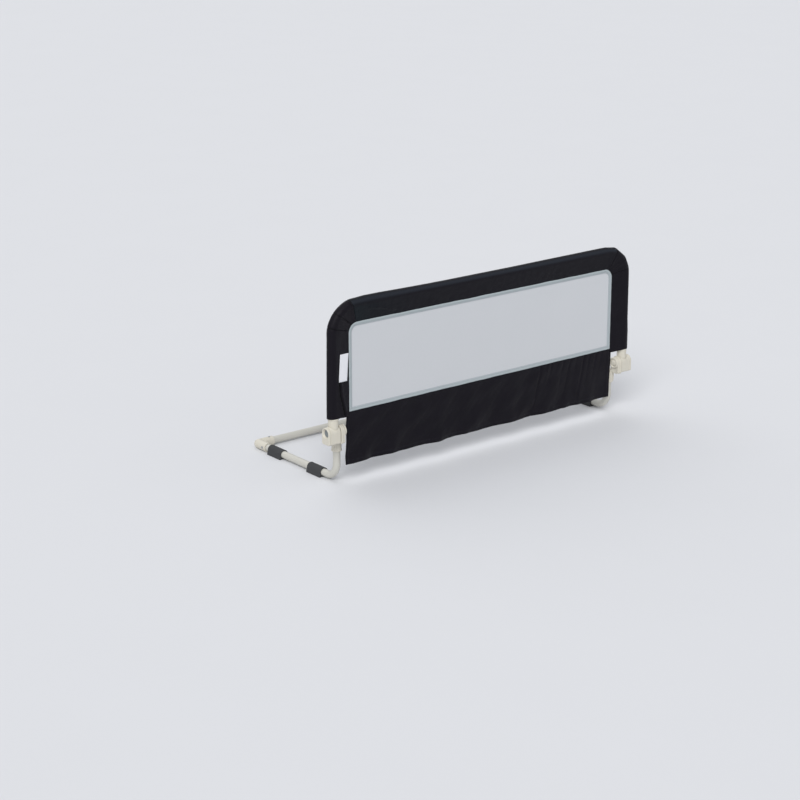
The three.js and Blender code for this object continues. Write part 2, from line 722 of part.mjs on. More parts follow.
// Collar and arched housing in one moulding, seen from the right end of the rail.
function upperMoulding() {
  const lipStart = COLLAR_HEIGHT - COLLAR_LIP_HEIGHT;
  const collar = turnedZ([
    at(0, 0),
    at(collarRadius, 0),
    at(collarRadius, lipStart - COLLAR_LIP),
    at(collarRadius + COLLAR_LIP, lipStart),
    at(collarRadius + COLLAR_LIP, COLLAR_HEIGHT),
    at(0, COLLAR_HEIGHT),
  ]);
  const arch = archOutline(housingRadius, HOUSING_DROP, HOUSING_CORNER);
  const housing = prismX(arch, -HOUSING_INBOARD, HOUSING_OUTBOARD);
  const cuts = [
    rodZ(collarBore, socketFloorZ, COLLAR_HEIGHT + CUT_OVERRUN),
    rodX(chamberRadius, webOuter, HOUSING_OUTBOARD + CUT_OVERRUN),
    rodX(boltHole, toothRingInner, webOuter + CUT_OVERRUN, SMALL_SIDES),
    rodX(gearRootRadius, toothRingOuter - CUT_OVERRUN, webInner),
    prismX(toothOutline(FIT_GAP), toothRingInner - CUT_OVERRUN, toothRingOuter),
    rodX(counterboreRadius, -HOUSING_INBOARD - CUT_OVERRUN, toothRingInner),
    lowerRecess(),
    rodY(SCREW_RADIUS + FIT_GAP, 0, collarRadius + CUT_OVERRUN, SMALL_SIDES)
      .translate(0, 0, SCREW_HEIGHT),
    rodY(SCREW_HEAD_RADIUS + FIT_GAP, collarRadius - SCREW_SEAT_DEPTH, collarRadius + CUT_OVERRUN)
      .translate(0, 0, SCREW_HEIGHT),
  ];
  for (const [y, z] of pusherPlaces()) {
    const hole = rodX(PUSHER_RADIUS + FIT_GAP, webInner - CUT_OVERRUN, webOuter + CUT_OVERRUN, SMALL_SIDES);
    cuts.push(hole.translate(0, y, z));
  }
  return carved([housing, collar], cuts);
}

// The moulding is hollow under the gear, as a moulded wall would be.
function lowerRecess() {
  const width = housingRadius - HOUSING_WALL;
  const top = -counterboreRadius - HOUSING_WALL;
  const outline = new THREE.Shape();
  outline.moveTo(-width, -HOUSING_DROP - CUT_OVERRUN);
  outline.lineTo(width, -HOUSING_DROP - CUT_OVERRUN);
  outline.lineTo(width, top);
  outline.lineTo(-width, top);
  return prismX(outline, HOUSING_WALL - HOUSING_INBOARD, HOUSING_OUTBOARD - HOUSING_WALL);
}

// Pushers stand on a circle round the bolt, in the horizontal plane.
function pusherPlaces() {
  const places = [];
  for (let i = 0; i < PUSHER_COUNT; i++) {
    const angle = (i / PUSHER_COUNT) * 2 * Math.PI;
    places.push([pusherCircle * Math.cos(angle), pusherCircle * Math.sin(angle)]);
  }
  return places;
}

function outerCover() {
  const arch = archOutline(housingRadius, HOUSING_DROP, HOUSING_CORNER);
  const plate = prismX(arch, coverInner, coverOuter, EDGE_BEVEL);
  const spigot = rodX(chamberRadius - FIT_GAP, HOUSING_OUTBOARD - COVER_SPIGOT, coverInner + COVER_SPIGOT);
  const hole = rodX(BUTTON_RADIUS + FIT_GAP, flangeInner, coverOuter + CUT_OVERRUN);
  const dish = turnedX([
    at(0, coverOuter - COVER_DISH_DEPTH),
    at(BUTTON_RADIUS + FIT_GAP, coverOuter - COVER_DISH_DEPTH),
    at(BUTTON_RADIUS + FIT_GAP + COVER_DISH_WIDTH, coverOuter),
    at(BUTTON_RADIUS + FIT_GAP + COVER_DISH_WIDTH, coverOuter + CUT_OVERRUN),
    at(0, coverOuter + CUT_OVERRUN),
  ]);
  return carved([plate, spigot], [hole, dish]);
}

// Hollow round button whose pushers reach through the web to the gear.
function releaseButton() {
  const face = buttonRoof + BUTTON_WALL;
  const body = turnedX([
    at(buttonHollowRadius, flangeInner),
    at(buttonFlangeRadius, flangeInner),
    at(buttonFlangeRadius, flangeOuter),
    at(BUTTON_RADIUS, flangeOuter),
    at(BUTTON_RADIUS, face - BUTTON_CROWN),
    at(0, face),
    at(0, buttonRoof),
    at(buttonHollowRadius, buttonRoof),
    at(buttonHollowRadius, flangeInner),
  ]);
  const pushers = pusherPlaces().map(([y, z]) => {
    const rod = rodX(PUSHER_RADIUS, toothRingInner, flangeOuter - BUTTON_FLANGE / 2, SMALL_SIDES);
    return rod.translate(0, y, z);
  });
  return carved([body, ...pushers]);
}

function lockGear() {
  const recess = rodX(gearRecessRadius, gearInner - CUT_OVERRUN, gearOuter - GEAR_WEB);
  const hole = rodX(boltHole, gearInner - CUT_OVERRUN, gearOuter + CUT_OVERRUN, SMALL_SIDES);
  return carved([prismX(toothOutline(0), gearInner, gearOuter)], [recess, hole]);
}

// Coil between the pocket's floor and the recess of the gear.
function buttonSpring() {
  const start = pocketEnd + FIT_GAP + SPRING_WIRE_RADIUS;
  const end = gearOuter - GEAR_WEB - FIT_GAP - SPRING_WIRE_RADIUS;
  const count = SPRING_TURNS * SPRING_STEPS;
  const stations = [];
  for (let i = 0; i <= count; i++) {
    const angle = (i / SPRING_STEPS) * 2 * Math.PI;
    const point = new THREE.Vector3(
      start + (end - start) * (i / count),
      springRadius * Math.cos(angle),
      springRadius * Math.sin(angle),
    );
    const tangent = new THREE.Vector3(
      (end - start) / (SPRING_TURNS * 2 * Math.PI),
      -springRadius * Math.sin(angle),
      springRadius * Math.cos(angle),
    ).normalize();
    stations.push({ point, tangent });
  }
  const outline = new THREE.Shape(circleOutline(SPRING_WIRE_RADIUS, SPRING_SIDES));
  return closedMesh(new THREE.ExtrudeGeometry(outline, {
    steps: count,
    extrudePath: new StationPath(stations),
  }));
}

function pivotBolt() {
  return closedMesh(turnedX([
    at(0, boltEnd),
    at(BOLT_RADIUS, boltEnd),
    at(BOLT_RADIUS, webOuter + FIT_GAP),
    at(BOLT_HEAD_RADIUS, webOuter + FIT_GAP),
    at(BOLT_HEAD_RADIUS, boltHeadOuter - BOLT_HEAD_HEIGHT * HEAD_EDGE_SHARE),
    at(BOLT_HEAD_RADIUS * HEAD_TOP_SHARE, boltHeadOuter),
    at(0, boltHeadOuter),
  ], SMALL_SIDES));
}

function pivotNut() {
  const outline = new THREE.Shape(circleOutline(NUT_RADIUS, NUT_SIDES));
  outline.holes.push(new THREE.Path(circleOutline(boltHole, SMALL_SIDES)));
  return closedMesh(prismX(outline, nutInner, nutOuter));
}

function innerCap() {
  const inner = capRoof;
  const outer = capRoof - CAP_WALL;
  const rim = housingRadius;
  const shoulder = nutOuter - CAP_STRAIGHT;
  const outerDome = domePoints(rim, shoulder, outer);
  const innerDome = domePoints(rim - CAP_WALL, shoulder, inner).reverse();
  return closedMesh(turnedX([
    at(rim - CAP_WALL, nutOuter),
    at(rim, nutOuter),
    ...outerDome,
    ...innerDome,
    at(rim - CAP_WALL, nutOuter),
  ]));
}

// Quarter of an ellipse from the rim to the axis.
function domePoints(radius, from, to) {
  const points = [];
  for (let i = 0; i <= DOME_STEPS; i++) {
    const angle = (i / DOME_STEPS) * (Math.PI / 2);
    const reach = i === DOME_STEPS ? 0 : radius * Math.cos(angle);
    points.push(at(reach, from + (to - from) * Math.sin(angle)));
  }
  return points;
}

// Rimmed plate, gear pocket and leg socket in one moulding.
function lowerBracket() {
  const plateArch = archOutline(plateRadius, PLATE_DROP, HOUSING_CORNER);
  const plate = prismX(plateArch, plateInner, plateOuter, EDGE_BEVEL);
  const bodyArch = archOutline(housingRadius, PLATE_DROP, HOUSING_CORNER);
  const body = prismX(bodyArch, bracketInner, plateInner + EDGE_BEVEL);
  const spineOutline = new THREE.Shape();
  const spineFront = legLineY - socketRadius;
  const spineBack = housingRadius;
  spineOutline.moveTo(spineFront, HOUSING_CORNER - PLATE_DROP);
  spineOutline.lineTo(spineFront, -SOCKET_TOP_DROP);
  spineOutline.lineTo(spineBack - HOUSING_WALL, socketBottomZ + SOCKET_WALL);
  spineOutline.lineTo(spineBack, socketBottomZ + SOCKET_WALL);
  spineOutline.lineTo(spineBack, HOUSING_CORNER - PLATE_DROP);
  const spine = prismX(spineOutline, bracketInner, plateOuter - EDGE_BEVEL);
  const socket = turnedZ([
    at(0, socketBottomZ),
    at(socketRadius, socketBottomZ),
    ...domePoints(socketRadius, -SOCKET_TOP_DROP, SOCKET_DOME - SOCKET_TOP_DROP),
  ]);
  socket.translate(legLineX - tubeLineX, legLineY, 0);
  const screwZ = socketBottomZ + LEG_SCREW_INSET;
  const bore = rodZ(socketBore, socketBottomZ - CUT_OVERRUN, -SOCKET_TOP_DROP);
  bore.translate(legLineX - tubeLineX, legLineY, 0);
  const screwHole = rodY(SCREW_RADIUS + FIT_GAP, 0, socketRadius + CUT_OVERRUN, SMALL_SIDES);
  const screwSeat = rodY(
    SCREW_HEAD_RADIUS + FIT_GAP,
    socketRadius - SCREW_SEAT_DEPTH,
    socketRadius + CUT_OVERRUN,
  );
  for (const cut of [screwHole, screwSeat]) {
    cut.translate(legLineX - tubeLineX, legLineY, screwZ);
  }
  return carved([plate, body, spine, socket], [
    prismX(toothOutline(FIT_GAP), pocketEnd, plateOuter + CUT_OVERRUN),
    rodX(boltHole, bracketInner - CUT_OVERRUN, plateOuter, SMALL_SIDES),
    bore,
    screwHole,
    screwSeat,
  ]);
}

// Pan-head screw pointing along -Y, its head on the seat of a socket of this radius.
function socketScrew(outerRadius) {
  const seat = outerRadius - SCREW_SEAT_DEPTH + FIT_GAP;
  const top = seat + SCREW_HEAD_HEIGHT;
  return closedMesh(new THREE.LatheGeometry([
    at(0, seat - SCREW_LENGTH),
    at(SCREW_RADIUS, seat - SCREW_LENGTH + SCREW_RADIUS),
    at(SCREW_RADIUS, seat),
    at(SCREW_HEAD_RADIUS, seat),
    at(SCREW_HEAD_RADIUS, top - SCREW_HEAD_HEIGHT * HEAD_EDGE_SHARE),
    at(SCREW_HEAD_RADIUS * HEAD_TOP_SHARE, top),
    at(0, top),
  ], SMALL_SIDES));
}

function legTube() {
  const path = bentPath([
    new THREE.Vector3(legLineX, legLineY, legTopZ),
    new THREE.Vector3(legLineX, legLineY, armZ),
    new THREE.Vector3(legLineX, ARM_REACH - ELBOW_CORE - FIT_GAP, armZ),
  ], LEG_BEND_RADIUS);
  const across = LEG_TUBE_RADIUS + CUT_OVERRUN;
  const legHole = rodY(SCREW_RADIUS + FIT_GAP, 0, across, SMALL_SIDES);
  legHole.translate(legLineX, legLineY, socketBottomZ + LEG_SCREW_INSET);
  const armHole = rodX(SCREW_RADIUS + FIT_GAP, 0, across, SMALL_SIDES);
  armHole.translate(legLineX, ARM_REACH - ELBOW_LENGTH + ARM_SCREW_INSET, armZ);
  return carved([sweptTube(LEG_TUBE_RADIUS, LEG_TUBE_WALL, path)], [legHole, armHole]);
}

// Corner connector, drawn round the point where the arm's and the bar's lines meet.
function cornerElbow() {
  const rim = elbowRadius - ELBOW_RIM;
  const ball = new THREE.SphereGeometry(rim, ROUND_SIDES, ROUND_SIDES / 2);
  const armSocket = rodY(rim, -ELBOW_LENGTH, 0);
  const armRim = rodY(elbowRadius, -ELBOW_LENGTH, ELBOW_RIM_WIDTH - ELBOW_LENGTH);
  const barSocket = rodX(rim, -ELBOW_LENGTH, 0);
  const barRim = rodX(elbowRadius, -ELBOW_LENGTH, ELBOW_RIM_WIDTH - ELBOW_LENGTH);
  const armBore = rodY(socketBore, -ELBOW_LENGTH - CUT_OVERRUN, -ELBOW_CORE);
  const barBore = rodX(socketBore, -ELBOW_LENGTH - CUT_OVERRUN, -ELBOW_CORE);
  const snapHole = rodZ(SNAP_RADIUS + FIT_GAP, 0, elbowRadius + CUT_OVERRUN, SMALL_SIDES);
  snapHole.translate(barSnapX - legLineX, 0, 0);
  const screwY = ARM_SCREW_INSET - ELBOW_LENGTH;
  const screwHole = rodX(SCREW_RADIUS + FIT_GAP, 0, elbowRadius + CUT_OVERRUN, SMALL_SIDES);
  const screwSeat = rodX(
    SCREW_HEAD_RADIUS + FIT_GAP,
    elbowRadius - SCREW_SEAT_DEPTH,
    elbowRadius + CUT_OVERRUN,
  );
  return carved([ball, armSocket, armRim, barSocket, barRim], [
    armBore,
    barBore,
    snapHole,
    screwHole.translate(0, screwY, 0),
    screwSeat.translate(0, screwY, 0),
  ]);
}

function crossBar() {
  const innerRadius = LEG_TUBE_RADIUS - LEG_TUBE_WALL;
  const tube = turnedX([
    at(LEG_TUBE_RADIUS, -barEnd),
    at(LEG_TUBE_RADIUS, barEnd),
    at(innerRadius, barEnd),
    at(innerRadius, -barEnd),
    at(LEG_TUBE_RADIUS, -barEnd),
  ], TUBE_SIDES);
  const holes = [LEFT, RIGHT].map((side) => {
    const hole = rodZ(SNAP_RADIUS + FIT_GAP, 0, LEG_TUBE_RADIUS + CUT_OVERRUN, SMALL_SIDES);
    return hole.translate(side * barSnapX, 0, 0);
  });
  return carved([tube], holes);
}

// Rubber block round the arm with a flat foot.
function gripPad() {
  const round = socketBore + ELBOW_WALL;
  const foot = -LEG_TUBE_RADIUS - PAD_BASE_DEPTH;
  const outline = new THREE.Shape();
  outline.moveTo(-PAD_HALF_WIDTH, foot);
  outline.lineTo(PAD_HALF_WIDTH, foot);
  outline.lineTo(PAD_HALF_WIDTH, foot + PAD_BASE_DEPTH);
  outline.lineTo(round, 0);
  outline.absarc(0, 0, round, 0, Math.PI, false);
  outline.lineTo(-PAD_HALF_WIDTH, foot + PAD_BASE_DEPTH);
  outline.holes.push(new THREE.Path(circleOutline(socketBore, TUBE_SIDES)));
  return closedMesh(prismY(outline, -PAD_LENGTH / 2, PAD_LENGTH / 2));
}

const MATERIALS = {
  steel: { color: 0xb9bcbe, roughness: 0.35, metalness: 0.9 },
  paintedSteel: { color: 0xc9c8c2, roughness: 0.45, metalness: 0.2 },
  fabric: { color: 0x212128, roughness: 0.9, metalness: 0 },
  net: { color: 0xc4c9d0, roughness: 0.85, metalness: 0 },
  binding: { color: 0xa9b5b6, roughness: 0.8, metalness: 0 },
  tag: { color: 0xe4e6ea, roughness: 0.8, metalness: 0 },
  ivoryPlastic: { color: 0xd2cfbf, roughness: 0.5, metalness: 0 },
  greyPlastic: { color: 0x82888a, roughness: 0.5, metalness: 0 },
  gearPlastic: { color: 0x4a4d50, roughness: 0.5, metalness: 0 },
  rubber: { color: 0x3a3b3d, roughness: 0.9, metalness: 0 },
};

function piece(name, geometry, material) {
  const mesh = new THREE.Mesh(geometry, new THREE.MeshStandardMaterial(MATERIALS[material]));
  mesh.name = name;
  return mesh;
}

function placed(mesh, x, y, z) {
  mesh.position.set(x, y, z);
  return mesh;
}

function upperFrame() {
  const group = new THREE.Group();
  const upright = uprightTube();
  group.add(piece("left_upright_tube", handed(upright, LEFT), "steel"));
  group.add(piece("right_upright_tube", handed(upright, RIGHT), "steel"));
  group.add(placed(piece("top_middle_tube", topMiddleTube(), "steel"), 0, 0, tubeTopZ));
  return group;
}

function fabricCover() {
  const group = new THREE.Group();
  group.add(piece("fabric_border", fabricBorder(), "fabric"));
  group.add(piece("window_binding", windowBinding(), "binding"));
  group.add(piece("window_net", windowNet(), "net"));
  group.add(piece("skirt", skirt(), "fabric"));
  const tag = piece("blank_tag", blankTag(), "tag");
  const lean = THREE.MathUtils.degToRad(TAG_LEAN_DEGREES);
  tag.rotation.set(0, lean, clothLean(), "ZYX");
  const tagReach = (TAG_WIDTH * Math.cos(lean) + TAG_HEIGHT * Math.sin(lean)) / 2;
  const seamStep = Math.max(0, BORDER_THICKNESS / 2 - clothHalf(TAG_INSET + tagReach));
  const standOff = seamStep + (FIT_GAP + TAG_THICKNESS / 2) / Math.cos(clothLean());
  const tagY = -clothHalf(TAG_INSET) - standOff;
  group.add(placed(tag, TAG_INSET - tubeLineX, tagY, sleeveBottomZ + TAG_CENTRE_HEIGHT));
  return group;
}

// A hinge and the screws that hold its tubes, at one end of the rail.
function hinge(side, label) {
  const group = new THREE.Group();
  group.position.x = side * tubeLineX;
  const add = (name, geometry, material) => {
    const mesh = piece(`${label}_${name}`, handed(geometry, side), material);
    group.add(mesh);
    return mesh;
  };
  add("upper_moulding", upperMoulding(), "ivoryPlastic");
  add("outer_cover", outerCover(), "ivoryPlastic");
  add("release_button", releaseButton(), "greyPlastic");
  add("lock_gear", lockGear(), "gearPlastic");
  add("button_spring", buttonSpring(), "steel");
  add("pivot_bolt", pivotBolt(), "steel");
  add("pivot_nut", pivotNut(), "steel");
  add("lower_bracket", lowerBracket(), "ivoryPlastic");
  add("inner_cap", innerCap(), "ivoryPlastic");
  placed(add("upright_screw", socketScrew(collarRadius), "steel"), 0, 0, SCREW_HEIGHT);
  const legScrew = add("leg_screw", socketScrew(socketRadius), "steel");
  placed(legScrew, side * (legLineX - tubeLineX), legLineY, socketBottomZ + LEG_SCREW_INSET);
  return group;
}

// A leg with its pads, corner connector and screw, at one end of the rail.
function legAndArm(side, label) {
  const group = new THREE.Group();
  const add = (name, geometry, material, x, y, z) => {
    const mesh = piece(`${label}_${name}`, handed(geometry, side), material);
    group.add(placed(mesh, x, y, z));
    return mesh;
  };
  const lineX = side * legLineX;
  add("leg_tube", legTube(), "paintedSteel", 0, 0, 0);
  add("front_grip_pad", gripPad(), "rubber", lineX, frontPadY, armZ);
  add("rear_grip_pad", gripPad(), "rubber", lineX, rearPadY, armZ);
  add("corner_elbow", cornerElbow(), "ivoryPlastic", lineX, ARM_REACH, armZ);
  const screwY = ARM_REACH - ELBOW_LENGTH + ARM_SCREW_INSET;
  const armScrew = add("arm_screw", socketScrew(elbowRadius), "steel", lineX, screwY, armZ);
  armScrew.rotation.z = -side * (Math.PI / 2);
  return group;
}

// Snap buttons: two in the top bar pointing at the mattress, two in the rear bar pointing up.
function snapButtons(side, label) {
  const group = new THREE.Group();
  const topClip = new THREE.Group();
  topClip.position.set(side * topSnapX, 0, tubeTopZ);
  topClip.rotation.x = -Math.PI / 2;
  const topButton = handed(snapButton(swageInnerRadius, topSnapTop), side);
  topClip.add(piece(`${label}_top_snap_button`, topButton, "steel"));
  topClip.add(piece(`${label}_top_snap_spring`, handed(snapSpring(swageInnerRadius), -side), "steel"));
  const barClip = new THREE.Group();
  barClip.position.set(side * barSnapX, ARM_REACH, armZ);
  const barButton = handed(snapButton(barInnerRadius, barSnapTop), side);
  barClip.add(piece(`${label}_bar_snap_button`, barButton, "steel"));
  barClip.add(piece(`${label}_bar_snap_spring`, handed(snapSpring(barInnerRadius), -side), "steel"));
  group.add(topClip, barClip);
  return group;
}

const assembly = new THREE.Group();
assembly.position.set(0, foldLineY, FOLD_LINE_HEIGHT);
assembly.add(upperFrame(), fabricCover());
for (const [side, label] of [[LEFT, "left"], [RIGHT, "right"]]) {
  assembly.add(hinge(side, label), legAndArm(side, label), snapButtons(side, label));
}
assembly.add(placed(piece("cross_bar", crossBar(), "paintedSteel"), 0, ARM_REACH, armZ));

const guardRail = new THREE.Group();
guardRail.add(assembly);

export default guardRail;
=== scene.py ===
"""Folding bed guard rail: cloth, mouldings, tubes and fasteners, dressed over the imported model."""
import collections
import itertools
import json
import math

import bmesh
import bpy
import numpy as np
from mathutils import Matrix, Vector


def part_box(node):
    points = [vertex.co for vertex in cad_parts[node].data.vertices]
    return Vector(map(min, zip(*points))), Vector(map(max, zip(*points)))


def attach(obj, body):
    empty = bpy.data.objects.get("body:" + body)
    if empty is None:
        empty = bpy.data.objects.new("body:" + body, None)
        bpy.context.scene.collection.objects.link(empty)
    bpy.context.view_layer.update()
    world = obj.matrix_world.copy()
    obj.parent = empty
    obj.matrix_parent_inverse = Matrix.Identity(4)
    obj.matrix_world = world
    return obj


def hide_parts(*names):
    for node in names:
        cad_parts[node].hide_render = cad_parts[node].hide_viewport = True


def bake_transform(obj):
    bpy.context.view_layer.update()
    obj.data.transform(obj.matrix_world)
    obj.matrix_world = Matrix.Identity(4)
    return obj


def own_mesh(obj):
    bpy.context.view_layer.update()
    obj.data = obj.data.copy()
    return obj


bl_info = {
    "name": "Folding Bed Guard Rail",
    "version": (1, 0, 0),
    "blender": (4, 5, 0),
    "location": "3D View > Sidebar > Guard Rail",
    "description": "Dresses a folding bed guard rail in cloth, moulded plastic and painted steel",
    "category": "Add Mesh",
}

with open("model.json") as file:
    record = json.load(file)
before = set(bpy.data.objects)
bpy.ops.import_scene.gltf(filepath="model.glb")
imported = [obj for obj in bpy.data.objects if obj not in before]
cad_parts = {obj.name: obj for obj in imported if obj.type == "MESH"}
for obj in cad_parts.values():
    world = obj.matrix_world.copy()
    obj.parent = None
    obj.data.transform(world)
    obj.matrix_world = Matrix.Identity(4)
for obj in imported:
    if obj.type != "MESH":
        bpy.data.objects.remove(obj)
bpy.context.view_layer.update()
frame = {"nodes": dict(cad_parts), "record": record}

# Millimetres are used throughout and turned to metres when a mesh is made.
MM = 0.001
LEFT = -1
RIGHT = 1
SIDES = ((LEFT, "left"), (RIGHT, "right"))


def span(node):
    """Lowest and highest corner of a construction node, in millimetres."""
    low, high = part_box(node)
    return np.array(low) / MM, np.array(high) / MM


# Places taken from the construction model: x to the rail's right end, y to the bed, z up
JOINTS = {joint["name"]: joint for joint in frame["record"]["behaviour"]["joints"]}
FOLD_Y, FOLD_Z = [place / MM for place in JOINTS["fold"]["pos_m"][1:]]
FIT_GAP = 0.3
border_low, border_high = span("fabric_border")
binding_low, binding_high = span("window_binding")
skirt_low, skirt_high = span("skirt")
upper_low, upper_high = span("right_upper_moulding")
SLEEVE_RADIUS = (border_high[1] - border_low[1]) / 2
TUBE_X = border_high[0] - SLEEVE_RADIUS
TUBE_TOP = border_high[2] - SLEEVE_RADIUS
SLEEVE_END = upper_high[2] + FIT_GAP
WINDOW_HALF = binding_high[0] + FIT_GAP
WINDOW_TOP = binding_high[2] + FIT_GAP
WINDOW_BOTTOM = binding_low[2] - FIT_GAP
SKIRT_HALF = skirt_high[0]
SKIRT_BOTTOM = skirt_low[2]

# The leg's line, inward and back from the upright's and past the skirt's end, and the arm's height
LEG_LINE = -27.6
LEG_BACK = 24.0
LEG_PAST_SKIRT = 15.4
LEG_X = SKIRT_HALF + LEG_PAST_SKIRT
LEG_Y = FOLD_Y + LEG_BACK
ARM_Z = 13.0
ELBOW_BACK = 12.7
ARM_END = span("right_corner_elbow")[1][1] - ELBOW_BACK


def linear(hex_colour):
    """Linear RGBA of an sRGB hex colour."""
    parts = [int(hex_colour[i:i + 2], 16) / 255 for i in (1, 3, 5)]
    return (*[p / 12.92 if p <= 0.04045 else ((p + 0.055) / 1.055) ** 2.4 for p in parts], 1.0)


def colour_property(name, text, hex_colour):
    return bpy.props.FloatVectorProperty(
        name=name, description=text, subtype="COLOR", size=4, min=0, max=1, default=linear(hex_colour)
    )


def length_property(name, text, millimetres):
    return bpy.props.FloatProperty(name=name, description=text, unit="LENGTH", default=millimetres * MM)


class GuardRailCloth(bpy.types.PropertyGroup):
    fabric: colour_property("Fabric", "Black woven polyester of border and skirt", "#110f15")
    fabric_light: colour_property("Fabric highlight", "Raised yarns of the woven polyester", "#221e28")
    net: colour_property("Net", "Knitted window net", "#cdcfd2")
    net_shade: colour_property("Net shade", "Gaps between the net's loops", "#b3b8be")
    tape: colour_property("Binding", "Raised outer band of the binding tape", "#a9b3b6")
    tape_shade: colour_property("Binding shade", "Flat inner band of the binding tape", "#a9b1b5")
    tag: colour_property("Tag", "Blank sewn tag", "#f6f6f9")
    wrinkle_depth: length_property("Wrinkle depth", "How far loose cloth stands off its straight shape", 0.9)
    seam_depth: length_property("Seam depth", "Depth of the dart seams in the corners", 1.7)
    fold_depth: length_property("Fold depth", "Depth of the skirt's hanging folds", 3.0)
    stitch_pitch: length_property("Stitch pitch", "Distance from stitch to stitch", 3.2)


class GuardRailFittings(bpy.types.PropertyGroup):
    ivory: colour_property("Ivory plastic", "Moulded hinge housings and connectors", "#d4cfc1")
    button: colour_property("Button", "Grey moulded release buttons", "#7b8183")
    paint: colour_property("Powder coat", "Painted steel of legs and cross bar", "#c8c6bd")
    rubber: colour_property("Rubber", "Grip pads on the arms", "#3a3b3d")
    edge_radius: length_property("Edge radius", "Rounding of the moulded edges", 1.3)
    mesh_cell: length_property("Mesh cell", "Cell size of the moulded surfaces", 0.7)


class GuardRailStage(bpy.types.PropertyGroup):
    floor: colour_property("Floor", "Pale studio floor", "#dddee1")
    lens: bpy.props.FloatProperty(name="Lens", description="Focal length of the camera", default=90.48)


def cloth_settings():
    return bpy.context.scene.guard_rail_cloth


def fitting_settings():
    return bpy.context.scene.guard_rail_fittings


# Mesh helpers

def grid_faces(rows, columns, wrap=False):
    """Quads of a grid of points stored row by row. With wrap, the last column joins the first."""
    across = np.arange(columns if wrap else columns - 1)
    row, column = np.meshgrid(np.arange(rows - 1), across, indexing="ij")
    after = (column + 1) % columns
    here = row * columns
    below = here + columns
    return np.stack([here + column, here + after, below + after, below + column], axis=-1).reshape(-1, 4)


def linked(name, data):
    """New object in the scene."""
    item = bpy.data.objects.new(name, data)
    bpy.context.scene.collection.objects.link(item)
    return item


def add_piece(name, points, faces, material, uv=None, values=None):
    """New object from points in millimetres. uv and values hold one entry for each point."""
    mesh = bpy.data.meshes.new(name)
    faces = faces.tolist() if hasattr(faces, "tolist") else faces
    mesh.from_pydata((np.asarray(points) * MM).tolist(), [], faces)
    mesh.validate()
    mesh.shade_smooth()
    mesh.materials.append(material)
    if uv is not None:
        corners = np.zeros(len(mesh.loops), int)
        mesh.loops.foreach_get("vertex_index", corners)
        layer = mesh.uv_layers.new(name="cloth")
        layer.data.foreach_set("uv", (np.asarray(uv) * MM)[corners].astype(np.float32).ravel())
    for key, numbers in (values or {}).items():
        attribute = mesh.attributes.new(key, "FLOAT", "POINT")
        attribute.data.foreach_set("value", np.asarray(numbers, np.float32))
    return linked(name, mesh)


def finished(piece, body, slot, *nodes):
    """The piece moves with a body and stands for these nodes. The slot is not used."""
    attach(piece, body)
    if nodes:
        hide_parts(*nodes)
    return piece


def baked(piece):
    """Turns the piece's modifiers into plain mesh."""
    bpy.context.view_layer.update()
    result = piece.evaluated_get(bpy.context.evaluated_depsgraph_get())
    mesh = bpy.data.meshes.new_from_object(result)
    piece.modifiers.clear()
    piece.data = mesh
    return piece


def thickened(piece, thickness, offset):
    """Gives a sheet its cloth thickness."""
    wall = piece.modifiers.new("Cloth thickness", "SOLIDIFY")
    wall.thickness = thickness * MM
    wall.offset = offset
    return baked(piece)


def tidy_normals(piece):
    """Merges doubled points and turns every face outward."""
    work = bmesh.new()
    work.from_mesh(piece.data)
    bmesh.ops.remove_doubles(work, verts=work.verts, dist=1e-6)
    bmesh.ops.dissolve_degenerate(work, edges=work.edges, dist=1e-7)
    bmesh.ops.recalc_face_normals(work, faces=work.faces)
    work.to_mesh(piece.data)
    work.free()


def mirrored(points, faces, side):
    """Points and faces of a left or right piece drawn outward along +X."""
    points = np.asarray(points) * [side, 1, 1]
    faces = np.asarray(faces)
    return points, faces if side == RIGHT else faces[:, ::-1]


def on_rail(x, z, lift):
    """Points that stand this far in front of the rail's plane."""
    return np.stack(np.broadcast_arrays(x, FOLD_Y - lift, z), axis=-1)


def run_along(points):
    """Length from the first point to each point, along one line or along several side by side."""
    steps = np.linalg.norm(np.diff(points, axis=0), axis=-1)
    return np.concatenate([np.zeros((1, *steps.shape[1:])), np.cumsum(steps, axis=0)])


def ripples(across, along, size, seed):
    """Smooth irregular height from about -1 to 1 with humps of about this size."""
    source = np.random.default_rng(seed)
    total = 0
    waves = 7
    for _ in range(waves):
        angle = source.uniform(0, math.pi)
        rate = 2 * math.pi / size * source.uniform(0.6, 1.5)
        phase = source.uniform(0, 2 * math.pi)
        total = total + np.sin(rate * (across * math.cos(angle) + along * math.sin(angle)) + phase)
    return total / math.sqrt(waves * 2)


def bump_at(distance, width):
    """Round hump of height 1 where the distance is zero."""
    return np.exp(-(distance / width) ** 2)


def ramp(value, start, end, least=0.0):
    """Share that grows to 1 as the value goes from start to end, and is never under the least."""
    return np.clip((value - start) / (end - start), least, 1)


def line_distance(across, up, line):
    """Distance of points from an open line of (across, up) places."""
    best = np.full(np.shape(across), np.inf)
    for (x0, z0), (x1, z1) in zip(line, line[1:]):
        step_x, step_z = x1 - x0, z1 - z0
        length = math.hypot(step_x, step_z)
        share = np.clip(((across - x0) * step_x + (up - z0) * step_z) / length ** 2, 0, 1)
        best = np.minimum(best, np.hypot(across - x0 - share * step_x, up - z0 - share * step_z))
    return best


# Distance fields of the mouldings, drawn round the upright's foot: x outward, y to the bed, z up

def rounded(outline, along, edge):
    """Distance to a prism with rounded edges, from its outline's distance and that along its axis."""
    a = outline + edge
    b = along + edge
    return np.hypot(np.maximum(a, 0), np.maximum(b, 0)) + np.minimum(np.maximum(a, b), 0) - edge


def between(value, low, high):
    return np.maximum(low - value, value - high)


